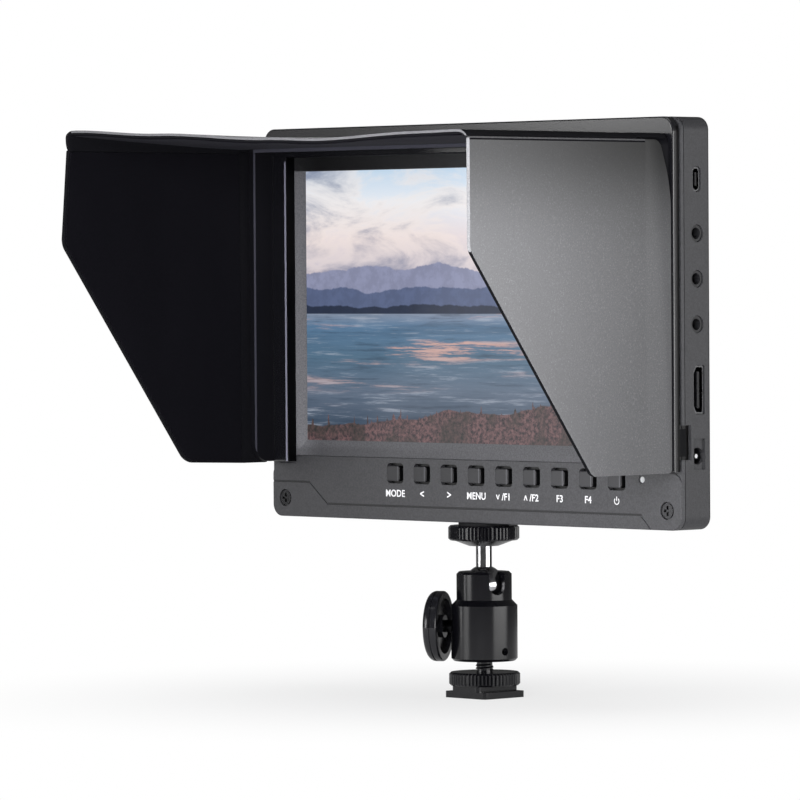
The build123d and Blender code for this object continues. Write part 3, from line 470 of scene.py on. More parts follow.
def coated_cloth(name, base, grain=0.42 * MM, depth=0.03 * MM):
    """Satin coated cloth with a pebbled grain and a fine sparkle; painted light makes it paler
    towards its forward edge and painted shade darker towards the wings' top.
    """
    finish = Finish(name, base, 0.45, specular_ior_level=0.8, sheen_weight=0.06,
                    sheen_roughness=0.4)
    point = finish.node("ShaderNodeAttribute", {"attribute_name": REST_PLACE}, output="Vector")
    pebble = finish.node(
        "ShaderNodeTexVoronoi", {"feature": "SMOOTH_F1"},
        {"Vector": point, "Scale": 1 / grain, "Smoothness": 0.6},
    )
    speck = finish.noise(0.9 / grain, roughness=0.7, point=point)
    broad = finish.noise(28.0, point=point)
    sparkle = speck.step(0.60, 0.72)
    _, y, z = finish.axes(point)
    # painted light: the cloth paler towards its forward edge
    front_painted_light = 1 - y.step(WING_LOW.y, FACE_Y)
    # painted shade: the cloth darker towards the wings' top edge, ending just above it
    brow = (
        z.step(WING_TOP - 55 * MM, WING_TOP + 1 * MM)
        * (1 - z.step(WING_TOP + 1.2 * MM, WING_TOP + 1.6 * MM))
    )
    tone = (
        0.62 + front_painted_light * 0.50 + speck.step(0.35, 0.75) * 0.28 + broad * 0.10 - pebble * 0.12
        + sparkle * 0.5
    )
    finish.shade(base, tone * (1 - brow ** 2.6 * (0.98 - front_painted_light * 0.26)))
    finish.feed("Roughness", 0.40 + speck * 0.12 + pebble * 0.06 - sparkle * 0.06)
    finish.bump(speck * 0.7 - pebble * 0.6, depth, 0.5)
    return finish.material


def black_edging(name, base):
    """Woven black tape that binds the hood inside."""
    finish = Finish(name, base, 0.8, specular_ior_level=0.12)
    warp = finish.noise(900.0, detail=1.0, stretch=(1, 1, 6))
    fluff = finish.noise(2200.0)
    finish.shade(base, 0.5 + warp * 0.6 + fluff * 0.5)
    finish.bump(warp * 0.6 + fluff * 0.4, 0.05 * MM, 0.6)
    return finish.material


def black_velvet(name, base):
    """Short black pile that swallows light."""
    finish = Finish(
        name, base, 1.0, specular_ior_level=0.05, sheen_weight=0.05, sheen_roughness=0.5,
        sheen_tint=(0.35, 0.35, 0.42, 1),
    )
    pile = finish.noise(2600.0, roughness=0.7)
    brushed = finish.noise(60.0, detail=3.0, stretch=(1, 1, 0.45))
    finish.shade(base, 0.55 + pile * 0.6 + brushed * 0.35)
    finish.bump(pile, 0.06 * MM, 0.6)
    return finish.material


def turned_metal(name, base, roughness, axis="Z"):
    """Lathe-turned metal: faint rings along its axis."""
    finish = Finish(name, base, roughness, metallic=1.0)
    ring, depth = 0.16 * MM, 0.004 * MM
    stretch = {"Z": (0.03, 0.03, 1), "Y": (0.03, 1, 0.03)}[axis]
    rings = finish.noise(1 / ring, roughness=0.6, stretch=stretch)
    smudge = finish.noise(160.0, detail=3.0)
    finish.shade(base, 0.90 + rings * 0.12 + smudge * 0.08)
    finish.feed("Roughness", roughness - 0.05 + rings * 0.06 + smudge * 0.06)
    finish.bump(rings, depth, 0.4)
    return finish.material


def anodised(name, base):
    """Black anodised aluminium: a glossy skin with fine turning marks."""
    roughness = 0.20
    finish = Finish(name, base, roughness, specular_ior_level=0.5, coat_weight=0.20,
                    coat_roughness=0.10)
    rings = finish.noise(5200.0, stretch=(0.02, 0.02, 1))
    fine = finish.noise(3000.0)
    finish.shade(base, 0.75 + rings * 0.25 + fine * 0.25)
    finish.feed("Roughness", roughness - 0.04 + fine * 0.05 + rings * 0.04)
    finish.bump(rings * 0.5 + fine * 0.5, 0.003 * MM, 0.4)
    return finish.material


def socket_metal(name, box, half_width, half_height):
    """A socket's nickel shell round its black tongue, whose half sizes are given."""
    finish = Finish(name, (0.16, 0.16, 0.165), 0.26)
    middle = (box[0] + box[1]) / 2
    _, y, z = finish.axes()
    tongue = y.near(middle.y, half_width) * z.near(middle.z, half_height)
    smudge = finish.noise(900.0, detail=3.0)
    finish.feed("Base Color", finish.mix(tongue, (0.16, 0.16, 0.165), (0.006, 0.006, 0.007)))
    finish.feed("Metallic", 1 - tongue)
    finish.feed("Roughness", 0.22 + smudge * 0.14)
    finish.bump(smudge, 0.004 * MM, 0.4)
    return finish.material


# ------------------------------------------------------------------ housing
def notches(x, z):
    """1 on the floors of the two notches that hold the hood's tabs, which lie in the dark."""
    return (x * x).near(NOTCH_FLOOR ** 2, 4e-5) * z.near(NOTCH_MIDDLE, 5.4 * MM)


def bezel_painted_shading(x, _, z):
    """The bezel's painted light and shade: a paler bevel round the screen, and painted shade on the
    rim above it, in the grooves, on the notches' floors and at the strip's left.
    """
    middle = (SCREEN_LOW.z + SCREEN_HIGH.z) / 2
    # painted light: the bevel round the screen made paler, most at its left and its lower part
    bevel = x.near(0, BEVEL_HALF_WIDTH) * z.near(middle, BEVEL_HALF_HEIGHT)
    # painted shade on the raised middle's upper rim under the flap, more at the left
    brow = x.near(0, RAISED_HALF_WIDTH) * z.step(middle + RIM_START, middle + RIM_END)
    brow = brow * (0.88 - x.step(-85 * MM, 45 * MM) * 0.32)
    left = 1 - x.step(-81 * MM, -70 * MM)
    low = 1 - z.step(middle - 46 * MM, middle + 46 * MM)
    lift = bevel * (0.10 + low * 0.45 + left * 1.3)
    # painted shade in the two styling grooves
    foot = z.near(BODY_BOTTOM + GROOVE_LOW, 0.35 * MM) * x.near(4.6 * MM, 70.8 * MM)
    shelf = z.near(BODY_BOTTOM + GROOVE_HIGH, 0.35 * MM) * (-74.7 * MM - x).step(0, 0.1 * MM)
    dark = (1 - foot * 0.6) * (1 - shelf * 0.6) * (1 - brow)
    # painted shade and light on the lower strip: darker at its left, lighter at its right
    strip = 1 - (1 - z.step(*STRIP_TOP)) * (0.26 - x.step(-92 * MM, 80 * MM) * 0.38)
    return (1 + lift) * dark * strip * (1 - notches(x, z) * 0.9)


def cover_painted_shading(x, y, z):
    """The rear cover's painted shade on the floors of the two notches."""
    return 1 - notches(x, z) * (1 - y.step(3 * MM, 4 * MM)) * 0.9


class MONITOR_OT_housing(bpy.types.Operator):
    """Finish the housing, the keys and the screws."""

    bl_idname = "field_monitor.housing"
    bl_label = "Housing"

    def hood_frame(self, base):
        """The hood frame's glossy black plastic, dull on the inner walls, with painted shade on
        those walls and beside the flange's sides, and painted highlights along the collar's front
        rim and the flange's inner lip.
        """
        finish = Finish("hood frame plastic", base, 0.5, specular_ior_level=0.1,
                        coat_roughness=0.22, coat_ior=1.8)
        x, y, z = finish.axes()
        inside = x.near(0, -COLLAR_LOW.x - 4.0 * MM) * (FACE_Y - 3.2 * MM - y).step(0, 0.2 * MM)
        tab = (y - FACE_Y).step(-0.3 * MM, 0.0)
        # painted highlight along the collar's front rim
        rim = inside * (COLLAR_LOW.y + 0.8 * MM - y).step(0, 0.1 * MM)
        # painted shade on the frame's inner walls
        wall = (
            x.near(0, FLANGE_INNER) * (1 - z.step(FLANGE_TOP, FLANGE_TOP + 0.1 * MM)) * (1 - inside)
        )
        # painted shade beside the flange's sides, where they meet the bezel
        side = (x * x).step((-COLLAR_LOW.x - 0.4 * MM) ** 2, (-COLLAR_LOW.x - 0.2 * MM) ** 2)
        fade = side * y.step(FACE_Y - 2.3 * MM, FACE_Y - 0.9 * MM)
        # painted highlight along the flange's inner lip
        edge = (
            ((x * x) ** 0.5).near(82.4 * MM, 0.4 * MM) * (FACE_Y - 2.0 * MM - y).step(0, 0.2 * MM)
        )
        lip = edge * (1 - inside) * (1 - z.step(170 * MM, 171 * MM)) * 36.0
        fine = finish.noise(3300.0)
        broad = finish.noise(40.0)
        tone = 0.8 + fine * 0.2 + broad * 0.2 + rim * 8.0 + lip + tab * 1.0
        finish.shade(base, tone * (1 - fade * 0.85) * (1 - wall * 0.85))
        finish.feed("Roughness", 0.46 + broad * 0.08 + inside * 0.4)
        flange = y.step(SIDE_CLOTH_HIGH.y - 0.1 * MM, SIDE_CLOTH_HIGH.y)
        finish.feed("Coat Weight",
                    flange * (1 - inside) * (1 - tab * 0.9) * (1 - wall) * (1 - fade * 0.9))
        finish.bump(fine, 0.003 * MM, 0.4)
        return finish.material

    def key_caps(self, base):
        """The keys' satin plastic, with a painted highlight along each cap's right edge, painted
        shade on the caps' sunk sides and painted shade towards the row's left.
        """
        finish = Finish("key plastic", base, 0.34)
        first, last = (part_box(KEY_NODES[i]) for i in (0, -1))
        start = (first[0].x + first[1].x) / 2
        pitch = ((last[0].x + last[1].x) / 2 - start) / (len(KEY_NODES) - 1)
        x, y, _ = finish.axes()
        across = (x - start + pitch / 2) % pitch - pitch / 2
        # painted shade on the caps' sides, sunk in their gaps
        sunk = y.step(first[0].y + 0.12 * MM, first[0].y + 0.3 * MM)
        # painted highlight along each cap's right edge
        painted_highlight_line = across.near(2.15 * MM, 0.16 * MM)
        fine = finish.noise(2000.0, detail=3.0)
        # painted shade: the row of keys darker towards its left
        row = 0.72 + x.step(start, start + (len(KEY_NODES) - 1) * pitch) * 0.50
        finish.shade(base, (0.85 + fine * 0.3 + painted_highlight_line * 2.4) * (1 - sunk * 0.9) * row)
        finish.feed("Roughness", 0.30 + fine * 0.10)
        finish.bump(fine, 0.008 * MM, 0.6)
        return finish.material

    def execute(self, context):
        settings = context.scene.monitor_body
        keys = self.key_caps(settings.key_color)
        satin = moulded("battery plate plastic", (0.040, 0.041, 0.046), grain=0.3 * MM,
                        depth=0.02 * MM, roughness=0.38, mottle=0.06)
        oxide = turned_metal("black oxide screws", (0.075, 0.075, 0.079), 0.26, axis="Y")
        cover = moulded("cover plastic", settings.cover_color, painted_shading=cover_painted_shading)
        bezel = moulded("bezel plastic", settings.plastic_color, painted_shading=bezel_painted_shading)
        paint({
            cover: ("rear_cover",),
            bezel: ("front_bezel",),
            keys: KEY_NODES,
            satin: ("battery_latch", "battery_plate"),
            self.hood_frame(settings.frame_color): ("hood_collar",),
            oxide: ("front_screws", "rear_screws", "grub_screw"),
        })
        return {"FINISHED"}


class MONITOR_OT_inner_parts(bpy.types.Operator):
    """Finish the boards, the sockets, the contacts and what lies behind the screen."""

    bl_idname = "field_monitor.inner_parts"
    bl_label = "Inner parts"

    def execute(self, context):
        board = speckled("solder mask", (0.015, 0.11, 0.05), 0.35, 900.0, (0.7, 0.6),
                         depth=0.01 * MM, coat_weight=0.3)
        usb = socket_metal("small socket shell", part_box("usb_port"), 0.45 * MM, 2.2 * MM)
        hdmi = socket_metal("wide socket shell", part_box("hdmi_port"), 0.6 * MM, 5.7 * MM)
        dc = Finish("power socket", (0.010, 0.010, 0.011), 0.30)
        low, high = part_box("dc_jack")
        _, y, z = dc.axes()
        y, z = y - (low.y + high.y) / 2, z - ((low.z + high.z) / 2 - 0.55 * MM)
        pin = (y * y + z * z).near(0, (0.62 * MM) ** 2)
        scuff = dc.noise(1500.0)
        dc.feed("Base Color", dc.mix(pin, (0.010, 0.010, 0.011), (0.80, 0.80, 0.81)))
        dc.feed("Metallic", pin)
        dc.feed("Roughness", 0.24 + scuff * 0.12)
        dc.bump(scuff, 0.004 * MM, 0.4)
        dark = moulded("socket plastic", (0.018, 0.018, 0.020), grain=0.4 * MM, depth=0.006 * MM,
                       roughness=0.35)
        brass = turned_metal("turned brass", (0.62, 0.44, 0.19), 0.28)
        steel = turned_metal("plated sheet steel", (0.50, 0.50, 0.52), 0.34)
        acetal = moulded("acetal", (0.55, 0.55, 0.53), roughness=0.4)
        guide = moulded("light guide", (0.75, 0.76, 0.78), roughness=0.25)
        lens = speckled("light lens", (0.40, 0.41, 0.43), 0.22, 1200.0, (0.8, 0.3), coat_weight=0.6)
        paint({
            board: ("main_board", "key_board"),
            usb: ("usb_port",),
            hdmi: ("hdmi_port",),
            dc.material: ("dc_jack",),
            dark: ("audio_jacks", "tact_switches"),
            brass: ("battery_contacts", "tripod_insert"),
            steel: ("lcd_chassis", "board_screws"),
            acetal: ("ball_seat",),
            guide: ("backlight_unit",),
            lens: ("status_light",),
        })
        return {"FINISHED"}


class MONITOR_OT_ball_head(bpy.types.Operator):
    """Finish the ball head."""

    bl_idname = "field_monitor.ball_head"
    bl_label = "Ball head"

    def execute(self, context):
        skin = anodised("black anodising", (0.0028, 0.0028, 0.0040))
        knob = moulded("knob plastic", (0.0085, 0.0085, 0.0105), grain=0.6 * MM, depth=0.003 * MM,
                       roughness=0.20, speckle=0.2, specular_ior_level=0.7)
        chrome = turned_metal("bright chrome", (0.62, 0.62, 0.64), 0.12)
        oxide = turned_metal("black oxide", (0.030, 0.030, 0.032), 0.24)
        rubber = speckled("black rubber", (0.010, 0.010, 0.011), 0.75, 900.0, (0.7, 0.7),
                          gloss=(0.66, 0.2),
                          depth=0.02 * MM, strength=0.5, detail=4.0, fineness=0.7,
                          specular_ior_level=0.3)
        paint({
            skin: ("shoe_foot", "shoe_lock_ring", "ball_socket", "upper_lock_disc"),
            knob: ("lock_knob",),
            chrome: ("ball_stem",),
            oxide: ("knob_screw",),
            rubber: ("rubber_pad",),
        })

        # the stud's thread, where it shows between the lock ring and the socket
        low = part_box("shoe_lock_ring")[1].z + 0.1 * MM
        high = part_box("ball_socket")[0].z - 0.1 * MM
        pitch, crest, root = 0.9 * MM, 2.85 * MM, 2.45 * MM
        thread = add("stud_thread", "circle", vertices=3, radius=0.36 * MM,
                     rotation=(math.pi / 2, 0, 0))
        outermost = max(v.co.x for v in thread.data.vertices)
        innermost = min(v.co.x for v in thread.data.vertices)
        turns = int((high - low) / pitch)
        scale = (crest - root) / (outermost - innermost)
        move_points(thread,
                    lambda co: Vector((root + (co.x - innermost) * scale, 0,
                                       low + 0.4 * MM + co.z)))
        modify(thread, "SCREW", axis="Z", angle=math.tau, screw_offset=pitch, iterations=turns - 1,
               steps=40, render_steps=40, use_merge_vertices=False)
        with editing(thread):
            bpy.ops.mesh.select_all(action="SELECT")
            bpy.ops.mesh.fill_holes(sides=3)
        close_up(thread, angle=50.0)
        dress(thread, skin, "shoe_mount")
        return {"FINISHED"}


# ------------------------------------------------------------------ screen
class MONITOR_OT_picture(bpy.types.Operator):
    """Light the screen with a lake below mountains, seen from a heather bank."""

    bl_idname = "field_monitor.picture"
    bl_label = "Screen picture"

    def execute(self, context):
        settings = context.scene.monitor_screen
        finish = Finish("lit screen", (0.012, 0.012, 0.014), 0.30, specular_ior_level=0.4)
        wide, high = 154.9 * MM, 87.1 * MM
        low_x = -wide / 2
        low_z = (SCREEN_LOW.z + SCREEN_HIGH.z - high) / 2
        x, _, z = finish.axes()
        across = (x - low_x) / wide
        up = (z - low_z) / high
        flat = finish.place(stretch=(1, 0, 1))
        horizon = settings.horizon

        # sky, its clouds and the warm strip under them
        sky = finish.ramp(up, [
            (horizon, screen(196, 142, 120)), (horizon + 0.07, screen(214, 176, 160)),
            (horizon + 0.17, screen(186, 180, 196)), (horizon + 0.28, screen(226, 214, 216)),
            (0.88, screen(226, 232, 240)), (1.0, screen(190, 212, 232)),
        ])
        cloud_place = finish.place(stretch=(0.6, 0, 1.7), shift=(0.4, 0, 0.1))
        billow = finish.noise(38.0, detail=7.0, roughness=0.62, distortion=0.5, point=cloud_place)
        veil = finish.noise(12.0, detail=3.0, point=cloud_place)
        mass = billow * 0.7 + veil * 0.5
        cloud = mass.step(0.56, 0.74) * up.step(horizon + 0.02, horizon + 0.14)
        sky = finish.mix(cloud * 0.85, sky, screen(112, 120, 146))
        lit = mass.step(0.50, 0.60) * (1 - cloud)
        sky = finish.mix(lit * 0.45, sky, screen(252, 236, 224))

        # three ranges of mountains, the nearest darkest
        picture = sky
        ranges = (
            (16.0, 0.17, 0.10, 3.1, screen(138, 142, 170)),
            (22.0, 0.095, 0.075, 9.7, screen(86, 98, 130)),
            (34.0, 0.030, 0.040, 17.3, screen(36, 46, 66)),
        )
        crag = finish.noise(210.0, detail=5.0, roughness=0.65, point=flat)
        for scale, base, swing, seed, tone in ranges:
            line = finish.place(stretch=(1, 0, 0), shift=(seed, 0, 0))
            crest = finish.noise(scale, detail=7.0, roughness=0.58, point=line)
            height = horizon + base + (crest - 0.5) * (2.6 * swing)
            shade = finish.mix(crag.step(0.4, 0.6) * 0.35, tone,
                               tuple(0.55 * part for part in tone))
            picture = finish.mix((height - up).step(-0.002, 0.004), picture, shade)

        # the lake, with wind lanes and what is left of the warm light on it
        depth = (horizon - up) / horizon
        water = finish.ramp(depth, [
            (0.0, screen(128, 140, 160)), (0.10, screen(84, 116, 146)),
            (0.34, screen(78, 106, 128)),
            (0.62, screen(92, 106, 124)), (0.85, screen(58, 74, 92)), (1.0, screen(40, 54, 70)),
        ])
        ripple = finish.noise(100.0, detail=6.0, roughness=0.7, stretch=(0.32, 0, 5.5))
        lane = finish.noise(34.0, detail=4.0, stretch=(0.22, 0, 3.4), shift=(0.7, 0, 0))
        water = finish.mix((ripple - 0.5).step(0.0, 0.20) * 0.55, water, screen(34, 50, 68))
        water = finish.mix((0.48 - ripple).step(0.0, 0.14) * 0.50, water, screen(176, 184, 198))
        water = finish.mix((lane - 0.5).step(0.02, 0.16) * 0.45, water, screen(52, 74, 94))
        warm = (
            (0.50 - lane).step(0.0, 0.10) * (0.52 - ripple).step(0.0, 0.10)
            * (1 - depth.step(0.1, 0.8))
        )
        water = finish.mix(warm * 0.75, water, screen(224, 168, 146))
        picture = finish.mix((horizon - up).step(-0.002, 0.002), picture, water)

        # heather and reeds on the near bank
        edge = finish.noise(30.0, detail=4.0, stretch=(1, 0, 0), shift=(0.2, 0, 0))
        reed = finish.noise(620.0, stretch=(1, 0, 0.12))
        bank = 0.05 + across * 0.13 + (edge - 0.5) * 0.14 + reed.step(0.55, 0.75) * 0.045
        tuft = finish.noise(700.0, detail=5.0, roughness=0.75, point=flat)
        clump = finish.noise(90.0, detail=3.0, point=flat)
        heath = finish.mix(tuft.step(0.35, 0.65), screen(30, 32, 36), screen(118, 88, 88))
        heath = finish.mix(clump.step(0.45, 0.62) * 0.6, heath, screen(46, 48, 42))
        picture = finish.mix((bank - up).step(0.0, 0.006), picture, heath)
        finish.feed("Emission Color", picture)
        finish.feed("Emission Strength", settings.brightness)
        paint({finish.material: ("lcd_panel",)})
        return {"FINISHED"}


# ------------------------------------------------------------------ hood cloth
def keep_place(piece):
    """Keep each point's place at rest, because a blended mesh changes with the pose."""
    kept = piece.data.attributes.new(REST_PLACE, "FLOAT_VECTOR", "POINT")
    for vertex, entry in zip(piece.data.vertices, kept.data):
        entry.vector = vertex.co


def wing_sheet(name, outline, corners):
    """A flat sheet with a wing's outline: X runs forwards from the bezel's face, Y up."""
    rear, front, bottom, top = outline["rear"], outline["front"], outline["bottom"], outline["top"]
    sheet = add(name, "plane", scale=(front - rear, top - bottom, 1), size=1,
                location=((rear + front) / 2, (bottom + top) / 2, 0))
    for (x1, y1), (x2, y2) in outline["cuts"]:
        cut(sheet, (x1, y1, 0), (y1 - y2, x2 - x1, 0), keep_all=False)
    for corner, reach in corners:
        round_corner(sheet, corner, reach)
    return sheet


def wing_place(sign, splay):
    """Where a point of a wing's flat sheet goes: forward distance, height and outward distance."""
    crease = FACE_Y - WING_CREASE

    def place(co):
        forward, height, outward = co
        if forward <= crease:
            return Vector((sign * (WALL_X + outward), FACE_Y - forward, BODY_BOTTOM + height))
        past = forward - crease
        x = WALL_X + past * math.sin(splay) + outward * math.cos(splay)
        y = past * math.cos(splay) - outward * math.sin(splay)
        return Vector((sign * x, WING_CREASE - y, BODY_BOTTOM + height))

    return place


def thicken(sheet, inner, outer, radius):
    """Give a flat sheet its thickness from z inner to z outer, with rounded edges."""
    thickness = outer - inner
    modify(sheet, "SOLIDIFY", thickness=thickness, offset=1.0)
    low = min(v.co.z for v in sheet.data.vertices)
    move_points(sheet, lambda co: Vector((co.x, co.y, co.z - low + inner)))
    modify(sheet, "BEVEL", width=radius, segments=3, limit_method="ANGLE",
           angle_limit=math.radians(50))


def line_faces(piece, test, finish):
    """Give the faces whose middle and normal pass the test another finish."""
    piece.data.materials.append(finish)
    for face in piece.data.polygons:
        if test(face.center, face.normal):
            face.material_index = len(piece.data.materials) - 1


class MONITOR_OT_wings(bpy.types.Operator):
    """Make the two side wings: coated cloth outside, bent at the crease, and velvet inside."""

    bl_idname = "field_monitor.wings"
    bl_label = "Wings"

    def execute(self, context):
        settings = context.scene.monitor_hood
        cloth = coated_cloth("coated cloth", settings.cloth_color)
        edging = black_edging("black edging", settings.edging_color)
        cut_edge = black_edging("cut edge", settings.cut_edge_color)
        # painted shade: the right wing's top edge in a darker grey than its cloth
        top_edge_shade = black_edging("wing piping", tuple(0.26 * part for part in settings.cut_edge_color))
        velvet = black_velvet("black velvet", settings.velvet_color)
        bottom = WING_BOTTOM - BODY_BOTTOM
        rear = FACE_Y - SIDE_CLOTH_HIGH.y
        crease = FACE_Y - WING_CREASE
        front = FACE_Y - WING_LOW.y
        shapes = {
            "right": {"front": front - 1.1 * MM, "low": 85.5 * MM, "foot": 38.3 * MM,
                      "top_front": front - 1.1 * MM, "rise": 0.0, "corners": (0.8, 1.5, 1.5)},
            "left": {"front": front - 0.5 * MM, "low": 88.5 * MM, "foot": 39.4 * MM,
                     "top_front": front - 2.9 * MM, "rise": 0.8 * MM, "corners": (0.5, 2.0, 3.0)},
        }
        for side, sign in (("left", -1), ("right", 1)):
            shape = shapes[side]
            top = WING_TOP - BODY_BOTTOM + (settings.right_rise if side == "right" else 0.0)
            splay = settings.left_splay if side == "left" else settings.right_splay
            low_corner = Vector((shape["front"], shape["low"]))
            foot_corner = Vector((shape["foot"], bottom + shape["rise"]))
            top_corner = Vector((shape["top_front"], top))
            hinge_corner = Vector((crease, bottom))
            slant = (Vector((rear, top - 14.4 * MM)), Vector((8.0 * MM, top)))

            def outline(back, inset):
                """The wing's outline from a rear edge, drawn in by an inset."""
                edges = ((low_corner, foot_corner), (top_corner, low_corner),
                         (foot_corner, hinge_corner))
                cuts = []
                for start, end in edges:
                    run = (end - start).normalized() * inset
                    shift = Vector((run.y, -run.x))
                    cuts.append((tuple(start + shift), tuple(end + shift)))
                if not inset:
                    cuts.append(tuple(map(tuple, slant)))
                return {"rear": back, "front": shape["front"] + 1 * MM, "bottom": bottom,
                        "top": top - inset, "cuts": cuts}

            top_reach, low_reach, foot_reach = (reach * MM for reach in shape["corners"])
            rounds = [(top_corner, top_reach), (low_corner, low_reach), (foot_corner, foot_reach),
                      (slant[0], 6 * MM), (slant[1], 2.5 * MM), ((rear, bottom), 1.5 * MM)]
            skin = wing_sheet(side + "_wing_skin", outline(rear, 0.0), rounds)
            for step in (-1.0, -0.6, -0.2, 0.2, 0.6, 1.0):
                cut(skin, (crease + step * settings.fold_width, 0, 0), (1, 0, 0))
            brow, seam = top - 0.5 * MM, top - 1.0 * MM
            if side == "right":
                cut(skin, (0, brow, 0), (0, 1, 0))
                cut(skin, (0, seam, 0), (0, 1, 0))
            thicken(skin, -settings.board, CLOTH, settings.edge_radius)
            skin.data.materials.append(cloth)
            if side == "right":
                line_faces(skin, lambda co, out: out.y < -0.2 and out.x > 0.2 and out.z < 0.6,
                           edging)
                line_faces(skin, lambda co, out: out.x > 0.9, cut_edge)
                # painted shade on the right wing's top edge
                line_faces(skin, lambda co, out: co.y > brow and out.z > 0.1 and co.x > crease,
                           top_edge_shade)
                line_faces(skin,
                           lambda co, out: seam < co.y < brow and out.z > 0.1 and co.x > crease,
                           edging)
            line_faces(skin, lambda co, out: out.z < -0.6 or (side == "left" and out.z < 0.6),
                       edging)
            move_points(skin, wing_place(sign, splay))
            close_up(skin)
            keep_place(skin)
            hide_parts(side + "_wing", side + "_hinge_cloth")
            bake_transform(skin)

            pile = wing_sheet(
                side + "_wing_velvet", outline(crease + 1.6 * MM, settings.velvet_inset),
                [(top_corner, top_reach), (low_corner, low_reach), (foot_corner, foot_reach)],
            )
            thicken(pile, -settings.board - settings.velvet, -settings.board + 0.05 * MM, 0.15 * MM)
            move_points(pile, wing_place(sign, splay))
            close_up(pile)
            dress(pile, velvet, side + "_wing")
            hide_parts(side + "_wing_lining")
        return {"FINISHED"}


def eased(knots, x):
    """A smooth line through knots of place and value."""
    if x <= knots[0][0]:
        return knots[0][1]
    for (x1, v1), (x2, v2) in zip(knots, knots[1:]):
        if x1 < x <= x2:
            t = (x - x1) / (x2 - x1)
            return v1 + (v2 - v1) * t * t * (3 - 2 * t)
    return knots[-1][1]


FLAP_WARP = ((-0.0884, 2.9), (-0.047, 1.05), (0.004, -1.25), (0.027, -2.0), (0.069, -0.75),
             (0.0884, -0.55))
FLAP_FRONT = ((-0.0884, 0.6), (-0.030, 0.2), (0.0, 0.0), (0.060, 0.0), (0.0884, 0.0))


